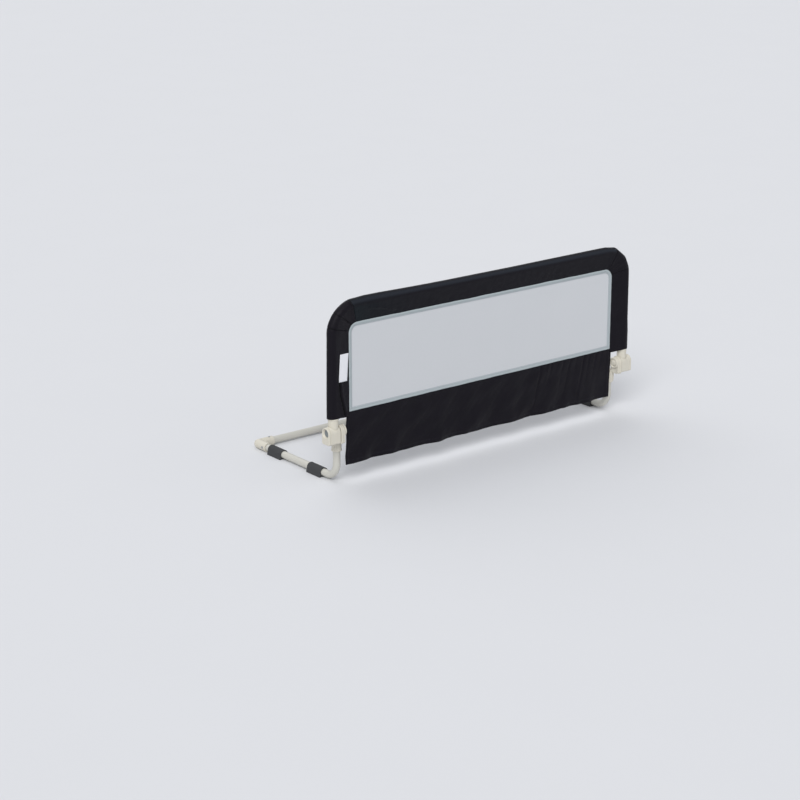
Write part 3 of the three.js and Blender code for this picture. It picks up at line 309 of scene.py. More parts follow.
def joined(a, b, radius):
    """Union of two fields with a fillet."""
    near = np.maximum(radius - np.abs(a - b), 0) / radius
    return np.minimum(a, b) - near * near * radius / 4


def cut(body, *holes):
    """The field without each hole. A hole is a field and the radius that rounds its edge."""
    for hole, radius in holes:
        body = -joined(-body, hole, radius)
    return body


def rod(u, v, along, radius, low, high, edge=0.3):
    """Round bar along one axis, from its two other axes."""
    return rounded(np.hypot(u, v) - radius, between(along, low, high), edge)


def arch(y, z, radius, drop, corner):
    """Distance to an arched outline: round above the fold line, straight and square below it."""
    below = rounded(np.abs(y) - radius, -z - drop, corner)
    return np.where(z > 0, np.hypot(y, z) - radius, below)


def surface_net(distance, low, high, cell):
    """Points and quads of the surface where a distance field is zero."""
    low = np.array(low, float) - 2 * cell
    counts = np.ceil((np.array(high, float) + 2 * cell - low) / cell).astype(int) + 1
    lines = [low[i] + cell * np.arange(counts[i]) for i in range(3)]
    values = distance(*np.meshgrid(*lines, indexing="ij"))
    points, number = cell_points(values)
    points = low + cell * points
    faces = np.concatenate([crossing_quads(values, number, axis) for axis in range(3)])
    step = cell * 0.05
    longest_move = 0.5 * cell
    for _ in range(4):
        height = distance(*points.T)
        slope = np.stack(
            [
                (distance(*(points + step * e).T) - distance(*(points - step * e).T)) / (2 * step)
                for e in np.eye(3)
            ],
            axis=-1,
        )
        move = -height[:, None] * slope / np.maximum((slope ** 2).sum(1), 0.25)[:, None]
        points = points + np.clip(move, -longest_move, longest_move)
    return points, faces


def cell_points(values):
    """One point in each grid cell that the surface crosses, in cells, and each cell's point number."""
    def corner(place):
        return values[tuple(slice(o, n - 1 + o) for o, n in zip(place, values.shape))]

    total = np.zeros([n - 1 for n in values.shape] + [3])
    hits = np.zeros(total.shape[:3])
    for axis, start in itertools.product(range(3), itertools.product((0, 1), repeat=3)):
        if start[axis]:
            continue
        end = tuple(1 if i == axis else v for i, v in enumerate(start))
        a, b = corner(start), corner(end)
        crossed = (a < 0) != (b < 0)
        share = np.where(crossed, a / np.where(crossed, a - b, 1), 0)
        hits += crossed
        for i in range(3):
            total[..., i] += crossed * start[i] + (share if i == axis else 0)
    used = hits > 0
    number = np.full(used.shape, -1)
    number[used] = np.arange(np.count_nonzero(used))
    return np.argwhere(used) + total[used] / hits[used][:, None], number


def crossing_quads(values, number, axis):
    """Quads round the grid edges along one axis that the surface crosses."""
    u, v = (axis + 1) % 3, (axis + 2) % 3
    start = [slice(1, -1)] * 3
    start[axis] = slice(0, -1)
    end = list(start)
    end[axis] = slice(1, None)
    a, b = values[tuple(start)], values[tuple(end)]
    step_u, step_v = np.eye(3, dtype=int)[u], np.eye(3, dtype=int)[v]
    faces = []
    for leaving in (True, False):
        places = np.argwhere((a < 0) & (b >= 0) if leaving else (a >= 0) & (b < 0)) + step_u + step_v
        ring = [places - step_u - step_v, places - step_v, places, places - step_u]
        quads = np.stack([number[tuple(p.T)] for p in ring], axis=-1)
        faces.append(quads if leaving else quads[:, ::-1])
    return np.concatenate(faces)


def lathe(profile, steps):
    """Points and quads of a closed profile of (radius, along) turned round the X axis."""
    radius, along = np.asarray(profile, float).T
    angles = np.arange(steps) / steps * 2 * math.pi
    circle = [np.outer(radius, turned).ravel() for turned in (np.cos(angles), np.sin(angles))]
    points = np.stack([np.repeat(along, steps), *circle], axis=-1)
    return points, grid_faces(len(profile), steps, wrap=True)


# Materials: each function adds its nodes to a tree and returns the inputs of the Principled shader

def add_node(tree, kind, inputs=None, **fields):
    """Adds a node, sets its fields, and sets or links its inputs."""
    node = tree.nodes.new(kind)
    for key, value in fields.items():
        setattr(node, key, value)
    for key, value in (inputs or {}).items():
        if isinstance(value, bpy.types.NodeSocket):
            tree.links.new(value, node.inputs[key])
        else:
            node.inputs[key].default_value = value
    return node


def cloth_uv(tree):
    """Place on the flat cloth, in metres along and across its weave."""
    return add_node(tree, "ShaderNodeUVMap", uv_map="cloth").outputs[0]


def noise(tree, size, detail):
    """Noise through the piece with grains of about this size in millimetres."""
    place = add_node(tree, "ShaderNodeTexCoord").outputs["Object"]
    inputs = {"Vector": place, "Scale": 1 / (size * MM), "Detail": detail}
    return add_node(tree, "ShaderNodeTexNoise", inputs).outputs["Fac"]


def bands(tree, vector, pitch, direction, distortion, detail=2.0):
    """Bands that repeat at this pitch in millimetres."""
    scale = math.pi / 10 / (pitch * MM)
    inputs = {"Vector": vector, "Scale": scale, "Distortion": distortion, "Detail": detail}
    return add_node(tree, "ShaderNodeTexWave", inputs, bands_direction=direction).outputs["Fac"]


def mixed(tree, share, first, second):
    """Colour between two colours."""
    inputs = {"Factor": share, "A": first, "B": second}
    return add_node(tree, "ShaderNodeMix", inputs, data_type="RGBA").outputs["Result"]


def worked(tree, operation, first, second):
    """Product, sum or other result of two numbers, kept from 0 to 1."""
    inputs = {0: first, 1: second}
    return add_node(tree, "ShaderNodeMath", inputs, operation=operation, use_clamp=True).outputs[0]


def ranged(tree, value, from_low, from_high, to_low, to_high):
    """Number moved from one range to another."""
    inputs = {
        "Value": value, "From Min": from_low, "From Max": from_high, "To Min": to_low, "To Max": to_high,
    }
    return add_node(tree, "ShaderNodeMapRange", inputs).outputs[0]


def relief(tree, height, depth, strength):
    """Normal of a surface that stands up by this depth in millimetres."""
    inputs = {"Height": height, "Distance": depth * MM, "Strength": strength}
    return add_node(tree, "ShaderNodeBump", inputs).outputs[0]


def shaded(colour, share, added=0.0):
    """Darker or lighter colour."""
    return (*[min(1.0, part * share + added) for part in colour[:3]], 1.0)


def woven(tree, low, high, pitch, depth, gloss, roughness, blotch):
    """Plain-woven cloth: crossing yarns, slightly uneven dye and a satin gloss.

    The mesh may carry painted_sky_tint, painted sky light that cools a panel's colour; painted_highlight, a
    painted highlight on a strip; and painted_crease_shade, painted shade that darkens seams and folds.
    """
    uv = cloth_uv(tree)
    warp, weft = [bands(tree, uv, pitch, direction, 0.6, 1.0) for direction in "XY"]
    yarn = worked(tree, "MULTIPLY", warp, weft)
    colour = mixed(tree, worked(tree, "MULTIPLY", yarn, noise(tree, blotch, 4.0)), low, high)
    # Painted light: a cool painted sky tint, a pale painted highlight and near-black painted shade in seams
    # and folds
    for key, tint in (("painted_sky_tint", "#151c21"), ("painted_highlight", "#25282f"), ("painted_crease_shade", "#020203")):
        share = add_node(tree, "ShaderNodeAttribute", attribute_name=key).outputs["Fac"]
        colour = mixed(tree, share, colour, linear(tint))
    return {
        "Base Color": colour, "Normal": relief(tree, yarn, depth, 0.8), "Roughness": roughness,
        "Specular IOR Level": gloss,
    }


def woven_polyester(tree):
    """Black plain-woven polyester. Real yarns are 0.3 mm apart; 0.9 mm shows close up."""
    cloth = cloth_settings()
    return woven(
        tree, cloth.fabric, cloth.fabric_light,
        pitch=0.9, depth=0.12, gloss=0.11, roughness=0.45, blotch=30,
    )


def satin_label(tree):
    """White satin-woven label: very fine yarns, smooth and slightly glossy."""
    return woven(
        tree, linear("#eeeff3"), cloth_settings().tag,
        pitch=0.7, depth=0.05, gloss=0.4, roughness=0.55, blotch=20,
    )


def grosgrain_tape(tree):
    """Ribbed binding tape: fine cross ribs, a raised outer band and a flat band inside the stitches."""
    cloth = cloth_settings()
    ribs = bands(tree, cloth_uv(tree), 1.0, "X", 0.4)
    inner = add_node(tree, "ShaderNodeAttribute", attribute_name="inner_band").outputs["Fac"]
    uneven = ranged(tree, noise(tree, 9, 3.0), 0.3, 0.7, -0.12, 0.12)
    return {
        "Base Color": mixed(tree, worked(tree, "ADD", inner, uneven), cloth.tape, cloth.tape_shade),
        "Normal": relief(tree, ribs, 0.15, 0.7), "Roughness": 0.7, "Sheen Weight": 0.1,
    }


def warp_knit_net(tree):
    """Fine warp-knitted polyester net: rows of small round gaps, drawn 2.6 mm apart to show."""
    cloth = cloth_settings()
    pitch = 2.6
    slanted = {"Vector": cloth_uv(tree), "Rotation": (0, 0, math.radians(45))}
    slanted = add_node(tree, "ShaderNodeMapping", slanted).outputs[0]
    inputs = {"Vector": slanted, "Scale": 1 / (pitch * MM), "Randomness": 0.12}
    loops = add_node(tree, "ShaderNodeTexVoronoi", inputs, voronoi_dimensions="2D").outputs["Distance"]
    gaps = ranged(tree, loops, 0.12, 0.42, 0.85, 0.0)
    haze = worked(tree, "MULTIPLY", gaps, noise(tree, 4, 5.0))
    return {
        "Base Color": mixed(tree, haze, cloth.net, cloth.net_shade), "Normal": relief(tree, loops, 0.3, 0.5),
        "Roughness": 0.85, "Specular IOR Level": 0.2,
    }


def moulded(tree, colour, roughness, grain, shade):
    """Injection-moulded plastic: spark-eroded grain, faint flow variation and edges paled by a painted
    highlight.
    """
    flow = noise(tree, 22, 3.0)
    edges = add_node(tree, "ShaderNodeNewGeometry").outputs["Pointiness"]
    base = mixed(tree, flow, shaded(colour, 1 - shade), tuple(colour))
    # Painted highlight: the sharpest edges are paled by their pointiness
    edge_highlight = ranged(tree, edges, 0.52, 0.62, 0.0, 0.5)
    return {
        "Base Color": mixed(tree, edge_highlight, base, shaded(colour, 1.12, 0.01)),
        "Roughness": ranged(tree, flow, 0.0, 1.0, roughness - 0.06, roughness + 0.08),
        "Normal": relief(tree, noise(tree, grain, 2.0), 0.06, 0.6), "IOR": 1.53,
    }


def ivory_abs(tree):
    """Warm white ABS, moulded with a fine matt texture: soft highlights and slightly paler edges from a
    painted highlight.
    """
    return moulded(tree, fitting_settings().ivory, roughness=0.48, grain=0.7, shade=0.05)


def grey_abs(tree):
    """Mid-grey ABS of the release buttons, a little glossier than the ivory."""
    return moulded(tree, fitting_settings().button, roughness=0.42, grain=0.6, shade=0.08)


def dark_nylon(tree):
    """Dark glass-filled nylon of the lock gears: matt with a faint mottle."""
    return moulded(tree, linear("#4a4d50"), roughness=0.55, grain=0.5, shade=0.15)


def grip_rubber(tree):
    """Moulded matt rubber: dull, with a coarse even grain."""
    return moulded(tree, fitting_settings().rubber, roughness=0.82, grain=1.2, shade=0.12)


def powder_coat(tree):
    """Warm white powder coat on steel tube: satin, with the slight waviness of orange peel."""
    paint = fitting_settings().paint
    return {
        "Base Color": mixed(tree, noise(tree, 60, 3.0), shaded(paint, 0.94), tuple(paint)),
        "Normal": relief(tree, noise(tree, 1.6, 2.0), 0.08, 0.5), "Roughness": 0.38, "Coat Weight": 0.15,
    }


def zinc_steel(tree):
    """Zinc-plated steel: bright grey metal with cloudy variation in its gloss."""
    cloud = noise(tree, 3, 4.0)
    return {
        "Base Color": mixed(tree, cloud, linear("#a4a8ab"), linear("#c8cbcd")),
        "Roughness": ranged(tree, cloud, 0.0, 1.0, 0.22, 0.42), "Metallic": 1.0,
    }


def sewing_thread(tree, colour):
    """Twisted polyester sewing thread: a fine slanting ply and a soft gloss."""
    place = add_node(tree, "ShaderNodeTexCoord").outputs["Object"]
    ply = bands(tree, place, 0.6, "DIAGONAL", 1.0)
    return {"Base Color": mixed(tree, ply, shaded(colour, 0.75), colour), "Roughness": 0.6}


def black_thread(tree):
    """Black thread of the skirt and border, one shade lighter than the cloth."""
    return sewing_thread(tree, linear("#33343b"))


def tape_thread(tree):
    """Grey-green thread that matches the binding tape."""
    return sewing_thread(tree, linear("#8f9b9c"))


def tag_thread(tree):
    """Pale thread round the blank tag."""
    return sewing_thread(tree, linear("#b9bcc2"))


def studio_floor(tree):
    """Matt pale vinyl floor that keeps the rail's shadow."""
    floor = bpy.context.scene.guard_rail_stage.floor
    speck = noise(tree, 300, 2.0)
    return {"Base Color": mixed(tree, speck, shaded(floor, 0.985), tuple(floor)), "Roughness": 0.9}


FINISHES = {
    "Black woven polyester": woven_polyester,
    "White satin label": satin_label,
    "Grosgrain binding tape": grosgrain_tape,
    "Warp-knitted net": warp_knit_net,
    "Black thread": black_thread,
    "Grey-green thread": tape_thread,
    "Pale thread": tag_thread,
    "Ivory moulded ABS": ivory_abs,
    "Grey moulded ABS": grey_abs,
    "Dark glass-filled nylon": dark_nylon,
    "Moulded grip rubber": grip_rubber,
    "Powder-coated steel": powder_coat,
    "Zinc-plated steel": zinc_steel,
    "Studio floor": studio_floor,
}


def finish(name):
    """The material of this name, made when it is first asked for."""
    material = bpy.data.materials.get(name)
    if material is None:
        material = bpy.data.materials.new(name)
        material.use_nodes = True
        tree = material.node_tree
        tree.nodes.clear()
        shader = add_node(tree, "ShaderNodeBsdfPrincipled", FINISHES[name](tree))
        add_node(tree, "ShaderNodeOutputMaterial", {"Surface": shader.outputs[0]})
    return material


# Cloth border: a section swept along the U of the tube frame

BEND_RADIUS = 75.0
WINDOW_CORNER = 27.0
CLOTH_TAPER = 48.0
CLOTH_HALF = 1.5
CLOTH_THICKNESS = 0.8
BORDER_DROP = 4.0
CORNER_X = TUBE_X - BEND_RADIUS
CORNER_Z = TUBE_TOP - BEND_RADIUS
# The flat cloth leaves the sleeve's round at this angle and runs straight to its edge
TAPER_SLANT = math.hypot(CLOTH_TAPER, CLOTH_HALF)
CLOTH_LEAN = math.asin(SLEEVE_RADIUS / TAPER_SLANT) - math.atan2(CLOTH_HALF, CLOTH_TAPER)
TANGENT_INSET = SLEEVE_RADIUS * math.sin(CLOTH_LEAN)
CLOTH_FALL = math.tan(CLOTH_LEAN)
# The border is a little wider below the window, where it reaches over the skirt's side
OVERLAP = 4.0

# Dart seams in the corners: angle up from the side at the outer edge and at the window, and outer radius
DART_SEAMS = {
    LEFT: ((15.5, 14.0, 90.2), (42.0, 52.0, 89.5), (76.0, 84.0, 89.5)),
    RIGHT: ((15.6, 21.0, 89.6), (37.9, 43.0, 90.8), (67.1, 58.0, 91.0)),
}
SEAM_BULGE = {LEFT: 0.75, RIGHT: 0.0}
# Stations set close beside each seam, in degrees from it
SEAM_STATIONS = (-1.4, -0.7, 0.7, 1.4)
# How far the cloth stands outside its straight line: up the sides from the sleeve end, and over the top
# from the left corner
SIDE_LINE = {
    LEFT: ((0, 3.4), (62, 2.8), (112, 1.8), (162, 0.8), (217, -0.3)),
    RIGHT: ((0, 2.6), (55, 2.4), (90, -0.2), (217, -1.3)),
}
TOP_LINE = (
    (0, -0.4), (29, 1.7), (82, 1.6), (141, 0.2), (241, -1.2), (300, -1.6), (540, -1.5), (640, -0.7),
    (740, -0.2), (860, 0.5), (883, 0.1),
)
STATION_STEP = 3.0
CORNER_STATIONS = 44
FLAT_STEPS = 15
ROUND_STEPS = 30

TAG_CENTRE = (30.4 - TUBE_X, SLEEVE_END + 130)
TAG_WIDTH = 33.0
TAG_HEIGHT = 73.0
TAG_LEAN = math.radians(5)

# The deep fold that runs down from the tag, and its ridge and valley: height, distance and width
DRAPE = ((12.7 - TUBE_X, SLEEVE_END + 94), (16.4 - TUBE_X, SLEEVE_END + 61), (31.8 - TUBE_X, SLEEVE_END + 7))
DRAPE_WAVES = ((2.6, 6, 4.5), (-4.0, 0, 2.6))
# Soft folds of the front: their line, height and width
SOFT_FOLDS = (
    (((TUBE_X - 30, SLEEVE_END + 20), (TUBE_X - 33, SLEEVE_END + 85)), 0.8, 6),
    (((113 - TUBE_X, TUBE_TOP - 14), (170 - TUBE_X, TUBE_TOP - 24), (218 - TUBE_X, TUBE_TOP - 38)), 1.6, 3.2),
    (((126 - TUBE_X, TUBE_TOP - 9), (194 - TUBE_X, TUBE_TOP - 37)), 1.6, 3.2),
)
FRONT_SEED = 3
BACK_SEED = 11

# tube: the tube's line; edge: the cloth's inner edge; reach: from the tube's line to the cloth's outside;
# seam: distance to the nearest dart seam; on_top: 1 in the top panel
Station = collections.namedtuple("Station", "tube edge reach seam on_top")


def cloth_half(inset):
    """Half thickness of the border at this distance inward from the tube's line."""
    return CLOTH_HALF + np.maximum(CLOTH_TAPER - inset, 0) * CLOTH_FALL


def polygon_radius(angle, corners):
    """Radius of the straight-sided corner outline at an angle."""
    for (a0, r0), (a1, r1) in zip(corners, corners[1:]):
        if angle <= a1 + 1e-6:
            t0, t1, t = (math.radians(v) for v in (a0, a1, angle))
            x0, z0, x1, z1 = r0 * math.cos(t0), r0 * math.sin(t0), r1 * math.cos(t1), r1 * math.sin(t1)
            return (x0 * z1 - x1 * z0) / (math.cos(t) * (z1 - z0) - math.sin(t) * (x1 - x0))
    return corners[-1][1]


def upright_stations(side):
    """Stations from the sleeve's end up to the corner, with a step where the window begins."""
    heights = np.linspace(SLEEVE_END, CORNER_Z, int((CORNER_Z - SLEEVE_END) / STATION_STEP))
    notch = [WINDOW_BOTTOM - FIT_GAP, WINDOW_BOTTOM]
    clear = np.min(np.abs(heights[:, None] - notch), axis=1) > 1
    heights = np.sort(np.concatenate([heights[clear], notch]))
    first_seam = math.radians(DART_SEAMS[side][0][0]) * BEND_RADIUS
    line = list(zip(*SIDE_LINE[side]))
    stations = []
    for z in heights[:-1]:
        inner = WINDOW_HALF if z >= WINDOW_BOTTOM - FIT_GAP / 2 else SKIRT_HALF - OVERLAP
        reach = SLEEVE_RADIUS + np.interp(z - SLEEVE_END, *line)
        stations.append(Station((side * TUBE_X, z), (side * inner, z), reach, CORNER_Z - z + first_seam, 0))
    return stations


def corner_stations(side):
    """Stations round the corner, whose outline runs nearly straight from dart seam to dart seam."""
    seams = DART_SEAMS[side]
    outer_angles = [0, *[seam[0] for seam in seams], 90]
    inner_angles = [0, *[seam[1] for seam in seams], 90]
    straight_radius = BEND_RADIUS + SLEEVE_RADIUS
    side_radius = straight_radius + SIDE_LINE[side][-1][1]
    top_radius = straight_radius + TOP_LINE[0 if side == LEFT else -1][1]
    radii = [side_radius, *[seam[2] for seam in seams], top_radius]
    angles = set(np.linspace(0, 90, CORNER_STATIONS)) | set(outer_angles)
    angles |= {seam[0] + step for seam in seams for step in SEAM_STATIONS}
    stations = []
    for angle in sorted(angles):
        outer = math.radians(angle)
        inner = math.radians(np.interp(angle, outer_angles, inner_angles))
        tube = (side * (CORNER_X + BEND_RADIUS * math.cos(outer)), CORNER_Z + BEND_RADIUS * math.sin(outer))
        edge = (
            side * (WINDOW_HALF - WINDOW_CORNER + WINDOW_CORNER * math.cos(inner)),
            WINDOW_TOP - WINDOW_CORNER + WINDOW_CORNER * math.sin(inner),
        )
        chord = polygon_radius(angle, list(zip(outer_angles, radii)))
        arc = np.interp(angle, outer_angles, radii)
        reach = chord + (arc - chord) * SEAM_BULGE[side] - BEND_RADIUS
        seam = math.radians(min(abs(angle - seam[0]) for seam in seams)) * BEND_RADIUS
        stations.append(Station(tube, edge, reach, seam, angle > seams[-1][0]))
    return stations


def border_stations():
    """All stations from the left sleeve's end, over the top, to the right sleeve's end."""
    left, right = [[*upright_stations(side), *corner_stations(side)] for side in (LEFT, RIGHT)]
    right.reverse()
    start, end = left[-1].tube[0], right[0].tube[0]
    count = int((end - start) / STATION_STEP)
    line = list(zip(*TOP_LINE))
    inner_end = WINDOW_HALF - WINDOW_CORNER
    top = []
    for x in start + (end - start) * np.arange(1, count) / count:
        seam = min(x - start + left[-1].seam, end - x + right[0].seam)
        reach = SLEEVE_RADIUS + np.interp(x - start, *line)
        top.append(Station((x, TUBE_TOP), (np.clip(x, -inner_end, inner_end), WINDOW_TOP), reach, seam, 1))
    return left + top + right


def border_section():
    """Section as rows of (share inward, face, round angle): flat front, round over the tube, flat back."""
    flat = np.linspace(1, 0, FLAT_STEPS)[:-1] ** 0.9
    turn = math.pi / 2 + CLOTH_LEAN
    rows = [(share, 1, None) for share in flat]
    rows += [(0, 1 if angle > 0 else -1, angle) for angle in np.linspace(turn, -turn, ROUND_STEPS)]
    return rows + [(share, -1, None) for share in flat[::-1]]


def tag_margin(x, z):
    """Distance outside the sewn tag, negative under it."""
    x, z = x - TAG_CENTRE[0], z - TAG_CENTRE[1]
    across = x * math.cos(TAG_LEAN) - z * math.sin(TAG_LEAN)
    up = x * math.sin(TAG_LEAN) + z * math.cos(TAG_LEAN)
    return np.maximum(np.abs(across) - TAG_WIDTH / 2, np.abs(up) - TAG_HEIGHT / 2)


def border_wrinkles(x, z, inset, seam, face):
    """How far loose cloth stands off its straight shape, in millimetres."""
    cloth = cloth_settings()
    # Cloth is loose between the tube and the bound edge
    slack = ramp(inset, 0, 14) * ramp(inset, 50, 42, 0.1)
    seed = FRONT_SEED if face > 0 else BACK_SEED
    large, middle, small = [ripples(x, z, size, seed + i) for i, size in enumerate((75, 28, 14))]
    height = cloth.wrinkle_depth / MM * slack * (large * 0.6 + middle * 0.3) + 0.12 * small
    margin = tag_margin(x, z)
    if face > 0:
        height *= ramp(margin, -1, 4)
    groove = cloth.seam_depth / MM * bump_at(seam, 1.3)
    puff = 0.5 * slack * bump_at(seam - 6, 6)
    height += puff - groove * ramp(inset, 52, 46, 0.3)
    if face > 0:
        away = line_distance(x, z, DRAPE)
        waves = sum(rise * bump_at(away - place, width) for rise, place, width in DRAPE_WAVES)
        height += slack * ramp(margin, 1, 5) * waves
        for line, rise, width in SOFT_FOLDS:
            height += slack * rise * bump_at(line_distance(x, z, line), width)
    return height


def border_shading(x, z, stations, face, angle):
    """Shares of painted crease shade, painted sky tint and painted highlight along one row of the section."""
    tube, seam, on_top = stations
    # Painted shade darkens the seam grooves and, on the front, the drape fold below the tag
    painted_crease_shade = 0.9 * bump_at(seam, 1.1)
    if angle is None:
        if face > 0:
            painted_crease_shade = painted_crease_shade + 1.3 * bump_at(line_distance(x, z, DRAPE), 3.0) * (tag_margin(x, z) > 0)
        flat, highlight_share = 1, 0
    else:
        # Painted highlight: a pale strip on the front shoulder of the tube's round in the top panel
        flat, highlight_share = 0.5, min(ramp(angle, 0.35, 0.8), ramp(angle, 1.5, 1.1))
    # Painted sky light cools the top panel, most near the left corner
    from_left = np.maximum(tube[:, 0] + CORNER_X, 0)
    sky_tint_share = 0.08 + 0.8 * np.exp(-from_left / 90)
    return {"painted_crease_shade": painted_crease_shade, "painted_sky_tint": on_top * sky_tint_share * flat, "painted_highlight": on_top * highlight_share}


def fabric_border():
    """Black polyester sleeve over the tube frame, closing to a flat edge that is bound at the window."""
    tube, edge, reach, seam, on_top = [np.array(column, float) for column in zip(*border_stations())]
    inward = edge - tube
    width = np.linalg.norm(inward, axis=1)
    inward /= width[:, None]
    sleeve_middle = 25
    run = run_along(tube + inward * sleeve_middle)
    # The open ends hang lower towards the skirt
    hang = ramp(tube[:, 1], SLEEVE_END + 40, SLEEVE_END) * (np.abs(inward[:, 0]) > 0.99)
    rows = []
    shading = []
    for share, face, angle in border_section():
        if angle is None:
            inset = TANGENT_INSET + (width - TANGENT_INSET) * share
            offset = cloth_half(inset) * face
            lean = np.where(inset < CLOTH_TAPER, CLOTH_LEAN, 0)
            normal_in, normal_out = np.sin(lean), np.cos(lean) * face
        else:
            normal_in, normal_out = -math.cos(angle), math.sin(angle)
            inset = (reach if normal_in < 0 else SLEEVE_RADIUS * np.ones(len(run))) * normal_in
            offset = SLEEVE_RADIUS * normal_out
        place = tube + inward * inset[:, None]
        lift = border_wrinkles(*place.T, inset, seam, face)
        if angle is not None:
            lift = np.maximum(lift, -0.9) * (0.4 + 0.6 * abs(normal_out))
        x, z = (place + inward * (normal_in * lift)[:, None]).T
        z = z - hang * BORDER_DROP * ramp(inset, 0, TUBE_X - SKIRT_HALF)
        rows.append(on_rail(x, z, offset + normal_out * lift))
        shading.append(border_shading(x, z, (tube, seam, on_top), face, angle))
    points = np.stack(rows)
    travel = run_along(points)
    uv = np.stack(np.broadcast_arrays(run, travel), axis=-1)
    values = {key: np.stack([row[key] for row in shading], axis=1).ravel() for key in shading[0]}
    piece = add_piece(
        "border_sleeve", points.swapaxes(0, 1).reshape(-1, 3), grid_faces(len(run), len(rows)),
        finish("Black woven polyester"), uv.swapaxes(0, 1).reshape(-1, 2), values,
    )
    thickened(piece, CLOTH_THICKNESS, -1)
    finished(piece, "rail", "border_fabric", "fabric_border")


# Window: binding tape and net

# Section of the tape: distance inside the opening and half thickness
TAPE_SECTION = (
    (-0.3, 1.2), (-0.5, 1.9), (-0.2, 2.5), (0.4, 2.85), (1.6, 3.0), (3.6, 2.95), (5.0, 2.7),
    (5.7, 2.3), (6.3, 2.05), (7.0, 2.2), (8.4, 2.1), (9.3, 1.7), (9.7, 1.1), (9.5, 0.4),
)
OUTER_BAND = 2
INNER_BAND = (4.6, 6.2)
NET_INSET = 6.5
STITCH_INSET = 6.2
STITCH_HEIGHT = 2.25


def window_path(inset, step=4.0):
    """Closed path round the window, this far inside its opening: points, inward normals and run."""
    half, low, high, radius = WINDOW_HALF, WINDOW_BOTTOM, WINDOW_TOP, WINDOW_CORNER
    places = []

    def straight(start, end, normal):
        count = max(2, int(math.dist(start, end) / step))
        for share in np.arange(count) / count:
            places.append((*(np.array(start) + np.subtract(end, start) * share), *normal))

    def arc(centre, turn):
        for angle in np.radians(np.linspace(turn, turn + 90, 16)):
            out = np.array([math.cos(angle), math.sin(angle)])
            places.append((*(centre + radius * out), *-out))

    straight((half, low), (half, high - radius), (-1, 0))
    arc((half - radius, high - radius), 0)
    straight((half - radius, high), (radius - half, high), (0, -1))
    arc((radius - half, high - radius), 90)
    straight((-half, high - radius), (-half, low), (1, 0))
    straight((-half, low), (half, low), (0, 1))
    path = np.array(places)
    for x in (half, -half):
        near = np.argmin(np.hypot(path[:, 0] - x, path[:, 1] - low))
        path[near, 2:] = (-math.copysign(1, x), 1)
    keep = np.append(True, np.linalg.norm(np.diff(path[:, :2], axis=0), axis=1) > 1e-6)
    path = path[keep]
    return path[:, :2] + path[:, 2:] * inset, path[:, 2:], run_along(path[:, :2])


def window_binding():
    """Folded grosgrain tape that binds the border's edge to the net and the skirt."""
    _, normals, run = window_path(0)
    section = [*TAPE_SECTION, *[(inset, -height) for inset, height in TAPE_SECTION[::-1]]]
    sway = 0.45 * ripples(run, 0, 90, 21) + 0.25 * ripples(run, 0, 26, 22)
    rows = []
    for inset, height in section:
        place, _, _ = window_path(inset)
        x, z = (place + normals * (sway * (inset < OUTER_BAND))[:, None]).T
        weave = 0.12 * ripples(run, inset, 12, 23)
        rows.append(on_rail(x, z, height + weave * np.sign(height)))
    count = len(run)
    insets = np.array([inset for inset, _ in section])
    uv = np.stack([np.tile(run, len(section)), np.repeat(insets, count)], axis=-1)
    faces = grid_faces(len(section) + 1, count, wrap=True) % (len(section) * count)
    piece = add_piece(
        "binding_tape", np.concatenate(rows), faces, finish("Grosgrain binding tape"), uv,
        {"inner_band": np.repeat(ramp(insets, *INNER_BAND), count)},
    )
    finished(piece, "rail", "binding_tape", "window_binding")


def window_net():
    """Net panel held flat in the binding, with a faint unevenness."""
    half = WINDOW_HALF - NET_INSET
    low, high = WINDOW_BOTTOM + NET_INSET, WINDOW_TOP - NET_INSET
    corner = WINDOW_CORNER - NET_INSET
    columns, rows = 180, 46
    x, z = np.meshgrid(np.linspace(-half, half, columns), np.linspace(low, high, rows))
    over = ramp(z, high - corner, high)
    limit = half - corner + corner * np.sqrt(np.maximum(1 - over ** 2, 0))
    x = np.clip(x, -limit, limit)
    inner = ramp(half - np.abs(x), 0, 60) * ramp(np.minimum(z - low, high - z), 0, 60)
    points = on_rail(x, z, -inner * 0.5 * ripples(x, z, 160, 31)).reshape(-1, 3)
    piece = add_piece(
        "net_panel", points, grid_faces(rows, columns), finish("Warp-knitted net"), points[:, [0, 2]]
    )
    thickened(piece, CLOTH_THICKNESS, 0)
    finished(piece, "rail", "window_net", "window_net")


# Skirt under the window

SKIRT_TOP = WINDOW_BOTTOM + 2
SKIRT_DEPTH = SKIRT_TOP - SKIRT_BOTTOM
HEM_HEIGHT = 12.0
SIDE_HEM = 9.0
HEM_RIDGE = 0.7
SKIRT_BACKSET = 6.0
SKIRT_ROWS = 46
SKIRT_COLUMNS = 320
# Cloth used up by the folds, as a share of the skirt's depth
HANGING_FOLD = 136
# Creases under the binding at the skirt's right end: place, depth and how far down they fade
PLEATS = (
    (207, 2.6, 200), (228, 1.4, 40), (246, 1.8, 60), (268, 1.2, 35), (292, 2.0, 80), (318, 2.4, 120),
    (343, 1.5, 50), (372, 2.6, 160), (393, 1.8, 70), (418, 2.2, 60), (440, 1.6, 50),
)
PLEAT_WIDTH = 3.6
PLEAT_SLANT = 0.2


